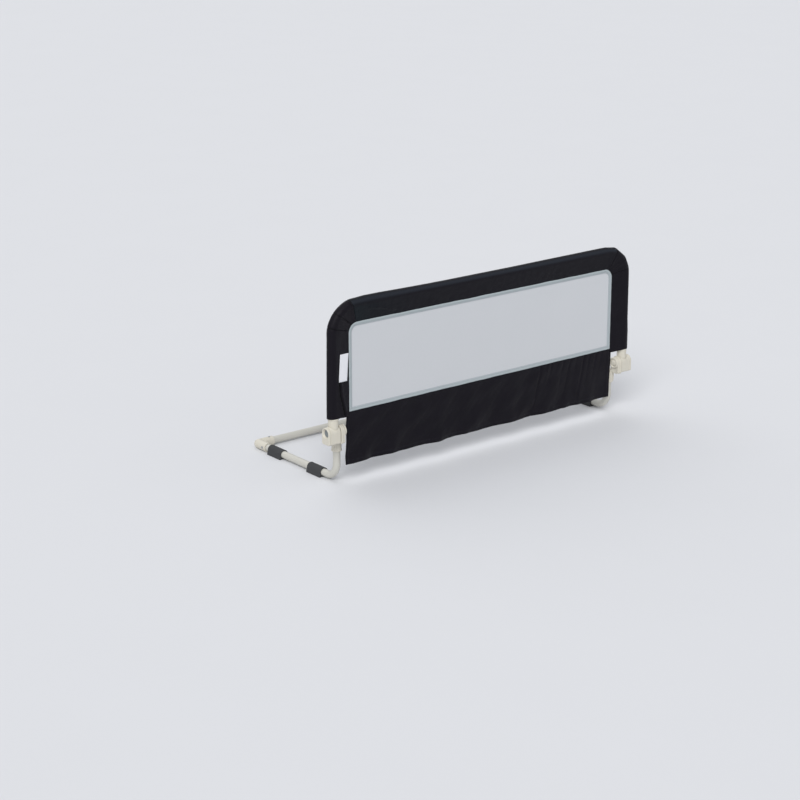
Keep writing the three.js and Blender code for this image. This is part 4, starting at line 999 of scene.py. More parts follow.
def skirt_offset(x, z):
    """How far the hanging cloth stands behind the rail's plane."""
    drop = SKIRT_TOP - z
    share = ramp(drop, 0, SKIRT_DEPTH)
    loose = share ** 1.3
    fold = cloth_settings().fold_depth / MM * np.sin(2 * math.pi * x / HANGING_FOLD)
    offset = SKIRT_BACKSET * share + loose * (fold + 1.3 * ripples(x, z * 0.35, 60, 41))
    slant, cross = 0.45 * (x + z), x - z
    dents = 2.9 * ripples(slant, cross, 88, 42) + 0.7 * ripples(slant, cross, 40, 43)
    offset += ramp(share, 0, 1 / 6) * ramp(x, 400, 240, 0.3) * dents
    for place, depth, length in PLEATS:
        pleat = bump_at(x - place + PLEAT_SLANT * drop, PLEAT_WIDTH) * np.exp(-drop / length)
        offset += depth * pleat * ramp(drop, 0, 8)
    return offset


def bend_skirt(piece):
    """Bakes the piece's placement into its mesh."""
    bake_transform(piece)


def skirt():
    """Black polyester skirt that hangs behind the bed's side board."""
    across = np.linspace(-SKIRT_HALF, SKIRT_HALF, SKIRT_COLUMNS)
    x, z = np.meshgrid(across, np.linspace(SKIRT_TOP, SKIRT_BOTTOM, SKIRT_ROWS))
    behind = skirt_offset(x, z)
    bottom_hem = bump_at(np.maximum(z - SKIRT_BOTTOM - HEM_HEIGHT, 0), 1.0)
    side_hem = bump_at(np.maximum(SKIRT_HALF - SIDE_HEM - np.abs(x), 0), 1.0)
    half = (CLOTH_THICKNESS + HEM_RIDGE * np.maximum(bottom_hem, side_hem)) / 2
    front, back = [on_rail(x, z, face * half - behind).reshape(-1, 3) for face in (1, -1)]
    count = len(front)
    faces = grid_faces(SKIRT_ROWS, SKIRT_COLUMNS)
    index = np.arange(count).reshape(SKIRT_ROWS, SKIRT_COLUMNS)
    rim = np.concatenate([index[0], index[1:, -1], index[-1, -2::-1], index[-2:0:-1, 0]])
    after = np.roll(rim, -1)
    edge = np.stack([rim, after, after + count, rim + count], axis=-1)
    run = run_along(np.stack([behind, z], axis=-1))
    uv = np.stack([x, run], axis=-1).reshape(-1, 2)
    piece = add_piece(
        "skirt_cloth", np.concatenate([front, back]), np.concatenate([faces[:, ::-1], faces + count, edge]),
        finish("Black woven polyester"), np.concatenate([uv, uv]),
    )
    bend_skirt(piece)
    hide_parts("skirt")


# Blank tag

TAG_THICKNESS = 0.7
TAG_STEPS = (26, 50)


def tag_place(across, up, stand):
    """Place on the border's sloping face, from the tag's own axes."""
    x = TAG_CENTRE[0] + across * math.cos(TAG_LEAN) + up * math.sin(TAG_LEAN)
    z = TAG_CENTRE[1] - across * math.sin(TAG_LEAN) + up * math.cos(TAG_LEAN)
    return on_rail(x, z, cloth_half(TUBE_X - np.abs(x)) + stand)


def blank_tag():
    """Satin label, bare, folded under at its ends and sewn down all round."""
    half_across, half_up = TAG_WIDTH / 2, TAG_HEIGHT / 2
    columns, rows = TAG_STEPS
    across, up = np.meshgrid(
        np.linspace(-half_across, half_across, columns), np.linspace(-half_up, half_up, rows)
    )
    inside = np.minimum(half_across - np.abs(across), half_up - np.abs(up))
    bow = 0.25 * ripples(across, up, 40, 51) * ramp(inside, 0, 5)
    points = tag_place(across, up, 0.95 + bow + 0.35 * ramp(inside, 0, 2.5)).reshape(-1, 3)
    uv = np.stack([across, up], axis=-1).reshape(-1, 2)
    piece = add_piece("blank_label", points, grid_faces(rows, columns), finish("White satin label"), uv)
    thickened(piece, TAG_THICKNESS, -1)
    finished(piece, "rail", "tag_fabric", "blank_tag")


# Hinge mouldings: x is measured outward from the upright's line, y and z from the fold line

HOUSING_RADIUS = 16.0
HOUSING_DROP = FOLD_Z - upper_low[2]
HOUSING_IN = -12.6
HOUSING_OUT = upper_high[0] - TUBE_X
PLATE_RADIUS = 17.5
PLATE_DROP = HOUSING_DROP + 2
PLATE_OUT = -14.6
PLATE_IN = -18.6
ARCH_CORNER = 5.0
COVER_IN = HOUSING_OUT + FIT_GAP
COVER_OUT = span("right_outer_cover")[1][0] - TUBE_X
CAP_IN, CAP_RIM = [corner[0] - TUBE_X for corner in span("right_inner_cap")]
BRACKET_IN = CAP_RIM + FIT_GAP
COLLAR_RADIUS = 13.5
COLLAR_BORE = 11.3
COLLAR_FLOOR = 14.7
COLLAR_HEIGHT = upper_high[2] - FOLD_Z
COLLAR_LIP = 5.0
LIP_STAND = 0.8
BUTTON_RADIUS = 9.5
FLANGE_RADIUS = 11.2
FLANGE_OUT = HOUSING_OUT - 0.7
FLANGE_IN = FLANGE_OUT - 2
WEB_OUT = FLANGE_IN - 5.8
WEB_IN = WEB_OUT - 3
BUTTON_ROOF = WEB_OUT + 9.1
BUTTON_FACE = BUTTON_ROOF + 1.7
PUSHERS = (-8, 8)
PUSHER_RADIUS = 1.5
SOCKET_RADIUS = 13.0
SOCKET_TOP = -34.0
SOCKET_BOTTOM = -62.0
# Heights of the screws that hold upright and leg
UPRIGHT_SCREW = 24.0
LEG_SCREW = SOCKET_BOTTOM + 12

# Bores, and a place past every moulding where a bore may end
BUTTON_BORE = FLANGE_RADIUS + FIT_GAP
GEAR_BORE = 12.6
TOOTH_ROOT_BORE = 10.2
POCKET_BORE = 12.3
POCKET_END = -23.1
PUSHER_BORE = PUSHER_RADIUS + FIT_GAP
BOLT_BORE = 3.3
TUBE_BORE = 10.3
SCREW_BORE = 2.0
SCREW_HEAD_BORE = 3.8
SCREW_SEAT = 0.9
FAR = 100

# Inner cap: radius of rim, its wall and roll, then (radius, depth) over the ring-shaped hollow and the
# boss to the middle, and back along the inside
CAP_RADIUS = 16.0
CAP_WALL = 1.5
CAP_ROLL = 2.6
CAP_SECTION = (
    (12.9, 0), (12.3, 0.3), (11.6, 2.0), (11.0, 2.6), (9.7, 2.8), (8.6, 2.4), (7.6, 1.0), (7.0, 0.4),
    (5.8, 0.1), (0, 0), (0, 1.4), (6.1, 1.4), (7.4, 3.9), (12.4, 3.9),
)


def screw_bores(u, v, along, seat):
    """Room for a screw's head down to its seat, and the screw's hole under it, with their edge radii."""
    head = rod(u, v, along, SCREW_HEAD_BORE, seat, FAR, 0.1)
    shaft = rod(u, v, along, SCREW_BORE, 5, FAR, 0.1)
    return (head, 0.3), (shaft, 0.2)


def upper_moulding_field(x, y, z):
    """Collar with a lip, joined by a saddle to the arched housing, hollow for button and gear."""
    edge = fitting_settings().edge_radius / MM
    around = np.hypot(x, y)
    from_fold = np.hypot(y, z)
    collar = rounded(around - COLLAR_RADIUS, between(z, -2, COLLAR_HEIGHT), 0.5)
    lip_height = between(z, COLLAR_HEIGHT - COLLAR_LIP, COLLAR_HEIGHT)
    lip = rounded(around - COLLAR_RADIUS - LIP_STAND, lip_height, 0.5)
    outline = arch(y, z, HOUSING_RADIUS, HOUSING_DROP, ARCH_CORNER)
    housing = rounded(outline, between(x, HOUSING_IN, HOUSING_OUT), edge)
    ring = between(around, COLLAR_RADIUS + 0.5, COLLAR_RADIUS + 3.2)
    saddle = rounded(from_fold - HOUSING_RADIUS - 1.3, np.maximum(ring, HOUSING_IN - x), 0.9)
    groove = np.maximum(np.abs(around - COLLAR_RADIUS) - 0.7, HOUSING_RADIUS - 3 - from_fold)
    housing = cut(joined(housing, saddle, 0.6), (groove, 0.3))
    wall = 3.4
    room = np.maximum(np.abs(y) - HOUSING_RADIUS + wall, between(z, -FAR, -HOUSING_RADIUS))
    recess = rounded(room, between(x, HOUSING_IN + wall, HOUSING_OUT - wall), 0.5)
    return cut(
        np.minimum(housing, joined(collar, lip, 0.4)),
        (rod(x, y, z, COLLAR_BORE, COLLAR_FLOOR, FAR, 0.1), 0.5),
        (rod(y, z, x, BUTTON_BORE, WEB_OUT, FAR), 0.4),
        (rod(y, z, x, GEAR_BORE, -FAR, -4.0), 0.4),
        (rod(y, z, x, TOOTH_ROOT_BORE, -10, WEB_IN), 0.4),
        (rod(y, z, x, BOLT_BORE, -10, 12), 0.2),
        *[(rod(y - place, z, x, PUSHER_BORE, 0, 12), 0.2) for place in PUSHERS],
        (recess, 0.4),
        *screw_bores(x, z - UPRIGHT_SCREW, y, COLLAR_RADIUS - SCREW_SEAT),
    )


def outer_cover_field(x, y, z):
    """Arched cover with a raised bead and a dished recess round the release button."""
    edge = fitting_settings().edge_radius / MM
    outline = arch(y, z, HOUSING_RADIUS, HOUSING_DROP, ARCH_CORNER)
    plate = rounded(outline, between(x, COVER_IN, COVER_OUT), edge + 0.5)
    around = np.hypot(y, z)
    bead = np.hypot(around - 13.0, x - COVER_OUT + 0.5) - 1.2
    floor = COVER_OUT - 5
    opening = BUTTON_RADIUS + FIT_GAP
    cone = (around - opening - (x - floor) * 0.6) * 0.85
    return cut(
        joined(plate, bead, 1.2),
        (np.maximum(cone, floor - x), 0.9),
        (rod(y, z, x, opening, 10, FAR, 0.1), 0.3),
    )


def button_field(x, y, z):
    """Release button: crowned edge, thumb dish, flange and the two pushers behind it."""
    around = np.hypot(y, z)
    cap = rounded(around - BUTTON_RADIUS, between(x, FLANGE_IN, BUTTON_FACE), 0.9)
    flange = rounded(around - FLANGE_RADIUS, between(x, FLANGE_IN, FLANGE_OUT), 0.3)
    dish_radius, dish_depth = 26, 0.6
    dish = np.hypot(around, x - BUTTON_FACE - dish_radius + dish_depth) - dish_radius
    hollow = rod(y, z, x, 7.0, 0, BUTTON_ROOF - 0.2, 0.2)
    body = cut(np.minimum(cap, flange), (dish, 0.6), (hollow, 0.2))
    for place in PUSHERS:
        body = np.minimum(body, rod(y - place, z, x, PUSHER_RADIUS, -9.0, FLANGE_OUT - 1))
    return body


def bracket_field(x, y, z):
    """Rimmed plate, gear pocket and leg socket in one moulding."""
    edge = fitting_settings().edge_radius / MM
    plate_outline = arch(y, z, PLATE_RADIUS, PLATE_DROP, ARCH_CORNER)
    plate = rounded(plate_outline, between(x, PLATE_IN, PLATE_OUT), edge)
    body_outline = arch(y, z, HOUSING_RADIUS - 0.8, PLATE_DROP, ARCH_CORNER)
    body = rounded(body_outline, between(x, BRACKET_IN, PLATE_IN + 1), 0.8)
    front = LEG_BACK - SOCKET_RADIUS
    spine_foot = SOCKET_BOTTOM + 2.7
    lean = (HOUSING_RADIUS - 3.4 - front) / (spine_foot - SOCKET_TOP)
    spine_front = front + (np.minimum(z, SOCKET_TOP) - SOCKET_TOP) * lean
    web = np.maximum(between(y, spine_front, HOUSING_RADIUS), between(z, spine_foot, -20))
    spine = rounded(web, between(x, BRACKET_IN, PLATE_OUT - 1.2), 1.0)
    u, v = x - LEG_LINE, y - LEG_BACK
    around = np.hypot(u, v)
    dome_height = 12
    above = np.maximum(z - SOCKET_TOP, 0) * SOCKET_RADIUS / dome_height
    socket = rounded(np.hypot(around, above) - SOCKET_RADIUS, SOCKET_BOTTOM - z, 0.8)
    rim_height = between(z, SOCKET_BOTTOM, SOCKET_BOTTOM + 5)
    rim = rounded(around - SOCKET_RADIUS - LIP_STAND, rim_height, 0.7)
    shell = joined(joined(plate, body, 0.8), joined(spine, joined(socket, rim, 0.8), 2.0), 1.5)
    return cut(
        shell,
        (rod(y, z, x, POCKET_BORE, POCKET_END, 0), 0.4),
        (rod(y, z, x, BOLT_BORE, -FAR, 0, 0.1), 0.2),
        (rod(u, v, z, TUBE_BORE, -FAR, SOCKET_TOP, 0.2), 0.5),
        *screw_bores(u, z - LEG_SCREW, v, SOCKET_RADIUS - SCREW_SEAT),
    )


def inner_cap_shape():
    """Cap with a rolled rim and a ring-shaped hollow round the boss over the pivot's nut."""
    inside = CAP_RADIUS - CAP_WALL
    middle = CAP_RADIUS - CAP_ROLL
    profile = [(inside, CAP_RIM), (CAP_RADIUS - 0.4, CAP_RIM), (CAP_RADIUS, CAP_RIM - 0.4)]
    for angle in np.radians([0, 20, 40, 60, 80, 90]):
        depth = CAP_ROLL - CAP_ROLL * math.sin(angle)
        profile.append((middle + CAP_ROLL * math.cos(angle), CAP_IN + depth))
    profile += [(radius, CAP_IN + depth) for radius, depth in CAP_SECTION]
    profile += [(inside, CAP_RIM - 0.6), (inside, CAP_RIM)]
    return lathe(profile, 64)


def hinges():
    """Housing, button surround, release button, leg bracket and domed cap of both hinges."""
    cell = fitting_settings().mesh_cell / MM
    fine = cell * 0.8
    low, high = -HOUSING_DROP - 0.5, COLLAR_HEIGHT + 0.5
    housing = surface_net(upper_moulding_field, (-16, -17.5, low), (HOUSING_OUT + 0.5, 17.5, high), fine)
    cover = surface_net(outer_cover_field, (COVER_IN - 0.5, -17, low), (COVER_OUT + 1.2, 17, 17), fine)
    button = surface_net(button_field, (-9.5, -11.5, -11.5), (BUTTON_FACE + 0.5, 11.5, 11.5), fine)
    bracket = surface_net(bracket_field, (-42, -18, -62.5), (-14, 38.5, 18), cell)
    shapes = (
        ("hinge_housing", "upper_moulding", "rail", "ivory", housing),
        ("button_surround", "outer_cover", "rail", "ivory", cover),
        ("thumb_button", "release_button", "{}_button", "grey", button),
        ("leg_bracket", "lower_bracket", "base", "ivory", bracket),
        ("domed_cap", "inner_cap", "base", "ivory", inner_cap_shape()),
    )
    for side, label in SIDES:
        for name, node, body, colour, shape in shapes:
            points, faces = mirrored(*shape, side)
            points = points + [side * TUBE_X, FOLD_Y, FOLD_Z]
            piece = add_piece(f"{label}_{name}", points, faces, finish(f"{colour.title()} moulded ABS"))
            finished(piece, body.format(label), f"{colour}_plastic", f"{label}_{node}")
            if name == "domed_cap":
                tidy_normals(piece)


# Legs, cross bar, elbows and pads

TUBE_RADIUS = 10.0
TUBE_STEPS = 32
LEG_BEND = 40.0
TUBE_GAP = 14.3
ELBOW_RADIUS = 12.5
ELBOW_LENGTH = 45.0
ELBOW_FLOOR = -14
ELBOW_RIM = 6
ARM_SCREW = 33.0
ARM_SCREW_SEAT = 11.8
ARM_SCREW_HEAD = 12.1
SNAP_PLACE = 34.3
SNAP_BORE = 3.3
DRILL_SPAN = (-2, 30)
PAD_HALF_WIDTH = 15.0
PAD_HALF_LENGTH = 30.0
PAD_TOP_RADIUS = 12.7
RIB_PITCH = 6.0
RIB_DEPTH = 1.1


def swept(path, radius, steps):
    """Tube of this radius along points, with flat closed ends."""
    path = np.array(path, float)
    ahead = np.gradient(path, axis=0)
    ahead /= np.linalg.norm(ahead, axis=1)[:, None]
    side = np.array([1.0, 0, 0]) if abs(ahead[0][0]) < 0.9 else np.array([0, 1.0, 0])
    angles = np.arange(steps) / steps * 2 * math.pi
    rings = []
    for place, tangent in zip(path, ahead):
        across = side - tangent * (side @ tangent)
        across /= np.linalg.norm(across)
        up = np.cross(tangent, across)
        rings.append(place + radius * (np.outer(np.cos(angles), across) + np.outer(np.sin(angles), up)))
    count = len(path) * steps
    ends = [list(range(steps))[::-1], list(range(count - steps, count))]
    return np.concatenate(rings), grid_faces(len(path), steps, wrap=True).tolist() + ends


def painted_tube(name, path, node):
    """Powder-coated tube along a path."""
    points, faces = swept(path, TUBE_RADIUS, TUBE_STEPS)
    piece = add_piece(name, points, faces, finish("Powder-coated steel"))
    tidy_normals(piece)
    return finished(piece, "base", "painted_steel", node)


def leg_path():
    """Down from the socket, round the bend and back along the arm."""
    top = FOLD_Z + SOCKET_TOP - FIT_GAP
    path = [(0, LEG_Y, z) for z in np.linspace(top, ARM_Z + LEG_BEND + 1, 5)]
    for angle in np.radians(np.linspace(0, 90, 25)):
        back, down = LEG_BEND * (1 - math.cos(angle)), LEG_BEND * (1 - math.sin(angle))
        path.append((0, LEG_Y + back, ARM_Z + down))
    path += [(0, y, ARM_Z) for y in np.linspace(LEG_Y + LEG_BEND + 2, ARM_END - TUBE_GAP, 12)]
    return np.array(path)


def elbow_field(x, y, z):
    """Corner connector round the point where arm and bar meet: x outward, y away from the rail."""
    ball = np.sqrt(x ** 2 + y ** 2 + z ** 2) - ELBOW_RADIUS
    ways = ((x, y), (y, x))
    arm, bar = [rod(u, z, along, ELBOW_RADIUS, -ELBOW_LENGTH, 0, 0.8) for u, along in ways]
    body = joined(joined(arm, bar, 2.5), ball, 1.0)
    for u, along in ways:
        rim = rod(u, z, along, ELBOW_RADIUS + 0.5, -ELBOW_LENGTH, ELBOW_RIM - ELBOW_LENGTH, 0.8)
        body = joined(body, rim, 0.6)
    return cut(
        body,
        *[(rod(u, z, along, TUBE_BORE, -FAR, ELBOW_FLOOR, 0.2), 0.5) for u, along in ways],
        (rod(x + SNAP_PLACE, y, z, SNAP_BORE, 0, FAR, 0.1), 0.4),
        *screw_bores(y + ARM_SCREW, z, x, ARM_SCREW_SEAT),
    )


def pad_field(x, y, z):
    """Rubber block round the arm: flat ribbed foot, grooved top."""
    side = np.abs(x) - PAD_HALF_WIDTH
    wall = np.maximum(side * 0.975 + (z + 10) * 0.22, side)
    lower = np.maximum(np.maximum(wall, -ARM_Z - z), z)
    outline = joined(lower, np.hypot(x, z) - PAD_TOP_RADIUS, 1.0)
    body = rounded(outline, np.abs(y) - PAD_HALF_LENGTH, 1.2)
    groove = np.abs((y + RIB_PITCH / 2) % RIB_PITCH - RIB_PITCH / 2)
    foot = np.hypot(groove, np.minimum(z + ARM_Z + 0.4, 0)) - RIB_DEPTH
    foot = np.maximum(foot, -ARM_Z - 1.6 - z) + np.maximum(z + ARM_Z - 0.8, 0)
    top = np.hypot(np.hypot(x, z) - PAD_TOP_RADIUS - 0.5, np.maximum(groove - 0.3, 0)) - 0.9
    top = np.maximum(np.maximum(top, 2 - z), np.abs(y) - PAD_HALF_LENGTH + 5)
    return cut(body, (foot, 0.3), (top, 0.4), (rod(x, z, y, TUBE_BORE, -FAR, FAR, 0.1), 0.4))


def under_mattress():
    """Legs with their arms, corner elbows and grip pads."""
    cell = fitting_settings().mesh_cell / MM
    elbow = surface_net(elbow_field, (-46, -46, -13.5), (13.5, 13.5, 13.5), cell)
    pad = surface_net(pad_field, (-15.5, -30.5, -13.5), (15.5, 30.5, 13.5), cell)
    for side, label in SIDES:
        painted_tube(f"{label}_painted_leg", leg_path() + [side * LEG_X, 0, 0], f"{label}_leg_tube")
        points, faces = mirrored(*elbow, side)
        points = points + [side * LEG_X, ARM_END, ARM_Z]
        corner = add_piece(f"{label}_elbow", points, faces, finish("Ivory moulded ABS"))
        finished(corner, "base", "ivory_plastic", f"{label}_corner_elbow")
        for where in ("front", "rear"):
            node = f"{label}_{where}_grip_pad"
            low, high = span(node)
            points, faces = mirrored(*pad, side)
            points = points + [side * LEG_X, (low[1] + high[1]) / 2, ARM_Z]
            block = add_piece(f"{label}_{where}_rubber_grip", points, faces, finish("Moulded grip rubber"))
            finished(block, "base", "rubber", node)


def cross_bar():
    """Straight painted tube between the elbows, drilled for the snap buttons."""
    half = span("cross_bar")[1][0]
    path = [(x, ARM_END, ARM_Z) for x in np.linspace(-half, half, 30)]
    bar = painted_tube("painted_cross_bar", path, "cross_bar")
    low, high = span("right_bar_snap_button")
    centre = (low + high) / 2
    drills = []
    for side in (LEFT, RIGHT):
        line = [(side * centre[0], centre[1], z) for z in DRILL_SPAN]
        drill = add_piece("drill", *swept(line, SNAP_BORE, 24), finish("Powder-coated steel"))
        tidy_normals(drill)
        drills.append(drill)
        hole = bar.modifiers.new("Snap hole", "BOOLEAN")
        hole.object = drill
        hole.solver = "EXACT"
    baked(bar)
    for drill in drills:
        bpy.data.objects.remove(drill)
    bar.data.shade_smooth()


# Fasteners and stitches by Geometry Nodes

# How deep a screw's head sits, and how far a row of stitches stands on the cloth and from its edge
SCREW_SINK = 0.6
STITCH_STAND = 0.35
HEM_STITCH_HEIGHT = 9
TAG_STITCH_INSET = 1.6
TAG_STITCH_STAND = 1.25


def placing_tree(name, sockets, placed):
    """Geometry Nodes tree that puts instances on points, makes them real and gives them their finish."""
    tree = bpy.data.node_groups.new(name, "GeometryNodeTree")
    for label, kind in (*sockets, ("Finish", "Material")):
        tree.interface.new_socket(label, in_out="INPUT", socket_type=f"NodeSocket{kind}")
    tree.interface.new_socket("Result", in_out="OUTPUT", socket_type="NodeSocketGeometry")
    given = add_node(tree, "NodeGroupInput").outputs
    instances = add_node(tree, "GeometryNodeInstanceOnPoints", placed(tree, given))
    real = add_node(tree, "GeometryNodeRealizeInstances", {"Geometry": instances.outputs[0]})
    inputs = {"Geometry": real.outputs[0], "Material": given["Finish"]}
    finished_parts = add_node(tree, "GeometryNodeSetMaterial", inputs)
    add_node(tree, "NodeGroupOutput", {"Result": finished_parts.outputs[0]})
    return tree


def turned_to(tree, direction):
    """Rotation that turns a part's Z axis to this direction."""
    return add_node(tree, "FunctionNodeAlignRotationToVector", {"Vector": direction}, axis="Z").outputs[0]


def parts_on_points(tree, given):
    """One part on every point, along the point's own direction."""
    part = add_node(tree, "GeometryNodeObjectInfo", {"Object": given["Part"]})
    facing = add_node(
        tree, "GeometryNodeInputNamedAttribute", {"Name": "facing"}, data_type="FLOAT_VECTOR"
    )
    return {
        "Points": given["Places"], "Instance": part.outputs["Geometry"],
        "Rotation": turned_to(tree, facing.outputs["Attribute"]), "Scale": given["Scale"],
    }


def stitches_on_lines(tree, given):
    """One short thread loop after another along lines."""
    curve = add_node(tree, "GeometryNodeMeshToCurve", {"Mesh": given["Seam lines"]})
    inputs = {"Curve": curve.outputs[0], "Length": given["Pitch"]}
    even = add_node(tree, "GeometryNodeResampleCurve", inputs, mode="LENGTH")
    tangent = add_node(tree, "GeometryNodeInputTangent")
    half = add_node(tree, "ShaderNodeMath", {0: given["Stitch length"], 1: 0.5}, operation="MULTIPLY")
    inputs = {"X": given["Thread radius"], "Y": given["Thread radius"], "Z": half.outputs[0]}
    size = add_node(tree, "ShaderNodeCombineXYZ", inputs)
    loop = add_node(tree, "GeometryNodeMeshUVSphere", {"Segments": 6, "Rings": 4, "Radius": 1.0})
    return {
        "Points": even.outputs[0], "Instance": loop.outputs["Mesh"],
        "Rotation": turned_to(tree, tangent.outputs[0]), "Scale": size.outputs[0],
    }


TREES = {
    "Fasteners": ((("Places", "Geometry"), ("Part", "Object"), ("Scale", "Float")), parts_on_points),
    "Running stitches": (
        (
            ("Seam lines", "Geometry"), ("Pitch", "Float"), ("Stitch length", "Float"),
            ("Thread radius", "Float"),
        ),
        stitches_on_lines,
    ),
}


def host_of(name, points, edges=()):
    """Object of bare points and edges, in millimetres, for a Geometry Nodes tree to work on."""
    mesh = bpy.data.meshes.new(name)
    mesh.from_pydata((np.asarray(points) * MM).tolist(), edges, [])
    return linked(name, mesh)


def placed_parts(host, tree_name, inputs):
    """Runs a Geometry Nodes tree on the host and keeps its result as plain mesh."""
    tree = bpy.data.node_groups.get(tree_name) or placing_tree(tree_name, *TREES[tree_name])
    modifier = host.modifiers.new(tree_name, "NODES")
    modifier.node_group = tree
    sockets = {s.name: s.identifier for s in tree.interface.items_tree if s.in_out == "INPUT"}
    for label, value in inputs.items():
        modifier[sockets[label]] = value
    baked(host)
    host.data.shade_smooth()
    return host


def stitched(name, lines, thread, radius=0.28, length=2.3):
    """Stitches along lines of points in millimetres."""
    ends = np.cumsum([len(line) for line in lines])
    edges = [(i, i + 1) for i in range(ends[-1] - 1) if i + 1 not in ends]
    return placed_parts(
        host_of(name, np.concatenate(lines), edges), "Running stitches",
        {
            "Pitch": cloth_settings().stitch_pitch, "Stitch length": length * MM,
            "Thread radius": radius * MM, "Finish": finish(thread),
        },
    )


def binding_stitches():
    """One row of stitches through the tape, seen on the front and on the back."""
    place, _, _ = window_path(STITCH_INSET)
    x, z = np.concatenate([place, place[:1]]).T
    lines = [on_rail(x, z, face * STITCH_HEIGHT) for face in (1, -1)]
    finished(stitched("binding_stitches", lines, "Grey-green thread"), "rail", "binding_tape")


def skirt_stitches():
    """Rows along the skirt's bottom and side hems, following the cloth's folds."""
    across = np.linspace(4 - SKIRT_HALF, SKIRT_HALF - 4, 300)
    up = np.linspace(SKIRT_TOP - 6, SKIRT_BOTTOM + 4, 60)
    row_height = SKIRT_BOTTOM + HEM_HEIGHT - 1.5
    row_side = SKIRT_HALF - SIDE_HEM + 1.2
    rows = [(across, np.full(300, row_height))]
    rows += [(np.full(60, side * row_side), up) for side in (LEFT, RIGHT)]
    lift = CLOTH_THICKNESS / 2 + STITCH_STAND
    lines = [on_rail(x, z, face * lift - skirt_offset(x, z)) for face in (1, -1) for x, z in rows]
    piece = stitched("skirt_stitches", lines, "Black thread")
    bend_skirt(piece)


def tag_stitches():
    """Stitches round the tag, a little inside its edge."""
    side, end = TAG_WIDTH / 2 - TAG_STITCH_INSET, TAG_HEIGHT / 2 - TAG_STITCH_INSET
    rightward, upward = np.linspace(-side, side, 12), np.linspace(-end, end, 24)
    across = np.concatenate([rightward, [side] * 24, -rightward, [-side] * 25])
    up = np.concatenate([[-end] * 12, upward, [end] * 12, -upward, [-end]])
    line = tag_place(across, up, TAG_STITCH_STAND)
    keep = np.append(True, np.linalg.norm(np.diff(line, axis=0), axis=1) > 1e-6)
    piece = stitched("tag_stitches", [line[keep]], "Pale thread", 0.22, 1.8)
    finished(piece, "rail", "tag_fabric")


def hem_stitches():
    """Rows round the open ends of the sleeves, above their hems."""
    height = SLEEVE_END + HEM_STITCH_HEIGHT
    inset = np.linspace(TANGENT_INSET, TUBE_X - SKIRT_HALF, 20)
    drop = BORDER_DROP * ramp(inset, 0, TUBE_X - SKIRT_HALF)
    turn = math.pi / 2 + CLOTH_LEAN
    angles = np.linspace(turn, -turn, 30)
    radius = SLEEVE_RADIUS + 0.15
    rows = []
    for side in (LEFT, RIGHT):
        for face in (1, -1):
            rows.append(on_rail(side * (TUBE_X - inset), height - drop, face * (cloth_half(inset) + 0.45)))
        rows.append(on_rail(side * (TUBE_X + radius * np.cos(angles)), height, radius * np.sin(angles)))
    finished(stitched("sleeve_hem_stitches", rows, "Black thread"), "rail", "border_fabric")


def screw_field(x, y, z):
    """Pan-head screw along +Z with a cross recess, its head's seat at zero."""
    around = np.hypot(x, y)
    head = rounded(around - 3.5, between(z, 0, 1.6), 0.5)
    crown = np.hypot(around, z + 5.6) - 7.2
    slots = [np.maximum(np.abs(u) - 0.35, np.abs(v) - 1.9) for u, v in ((x, y), (y, x))]
    body = cut(head, (-crown, 0.2), (np.maximum(np.minimum(*slots), 0.7 - z), 0.1))
    return joined(body, rounded(around - 1.7, between(z, -4.4, 0.5), 0.3), 0.2)


def screws(name, places, body, *nodes):
    """Pan-head screws at (place, facing) pairs."""
    steel = finish("Zinc-plated steel")
    shape = surface_net(screw_field, (-3.6, -3.6, -4.6), (3.6, 3.6, 1.8), 0.3)
    model = add_piece("screw_model", *shape, steel)
    host = host_of(name, [place for place, _ in places])
    facing = host.data.attributes.new("facing", "FLOAT_VECTOR", "POINT")
    directions = [direction for _, direction in places]
    facing.data.foreach_set("vector", np.array(directions, np.float32).ravel())
    placed_parts(host, "Fasteners", {"Part": model, "Scale": 1.0, "Finish": steel})
    bpy.data.objects.remove(model)
    finished(host, body, "steel", *nodes)


def fasteners():
    """Screws of the uprights, which ride on the rail, and of legs and arms, which stay on the base."""
    upright, lower, nodes = [], [], []
    to_bed = (0, 1, 0)
    for side, label in SIDES:
        upright_y = FOLD_Y + COLLAR_RADIUS - SCREW_SINK
        upright.append(((side * TUBE_X, upright_y, FOLD_Z + UPRIGHT_SCREW), to_bed))
        leg_y = LEG_Y + SOCKET_RADIUS - SCREW_SINK
        lower.append(((side * LEG_X, leg_y, FOLD_Z + LEG_SCREW), to_bed))
        lower.append(((side * (LEG_X + ARM_SCREW_HEAD), ARM_END - ARM_SCREW, ARM_Z), (side, 0, 0)))
        nodes += [f"{label}_leg_screw", f"{label}_arm_screw"]
    screws("upright_screws", upright, "rail", "left_upright_screw", "right_upright_screw")
    screws("leg_and_arm_screws", lower, "base", *nodes)


def snap_buttons():
    """Smooth domed heads of the snap buttons that lock the cross bar."""
    head, foot, foot_height = 3, 4.2, 0.8
    for _, label in SIDES:
        node = f"{label}_bar_snap_button"
        low, high = span(node)
        top, base = high[2], low[2]
        shoulder = base + foot_height
        profile = [(0, base), (foot, base), (foot, shoulder), (head, shoulder)]
        dome = np.radians(np.linspace(0, 84, 7))
        profile += [(head * math.cos(angle), top - 1 + math.sin(angle)) for angle in dome]
        points, faces = lathe([*profile, (0, top)], 24)
        points = points[:, [1, 2, 0]] + [(low[0] + high[0]) / 2, (low[1] + high[1]) / 2, 0]
        button = add_piece(f"{label}_snap_head", points, faces, finish("Zinc-plated steel"))
        tidy_normals(button)
        finished(button, f"{label}_bar_snap", "steel", node)


# Springs: piece, node, the joint that presses it and the body that it sits on
SPRINGS = (
    ("return_coil", "button_spring", "gear_slide", "base"),
    ("top_leaf_spring", "top_snap_spring", "top_snap_press", "rail"),
    ("bar_leaf_spring", "bar_snap_spring", "bar_snap_press", "base"),
)


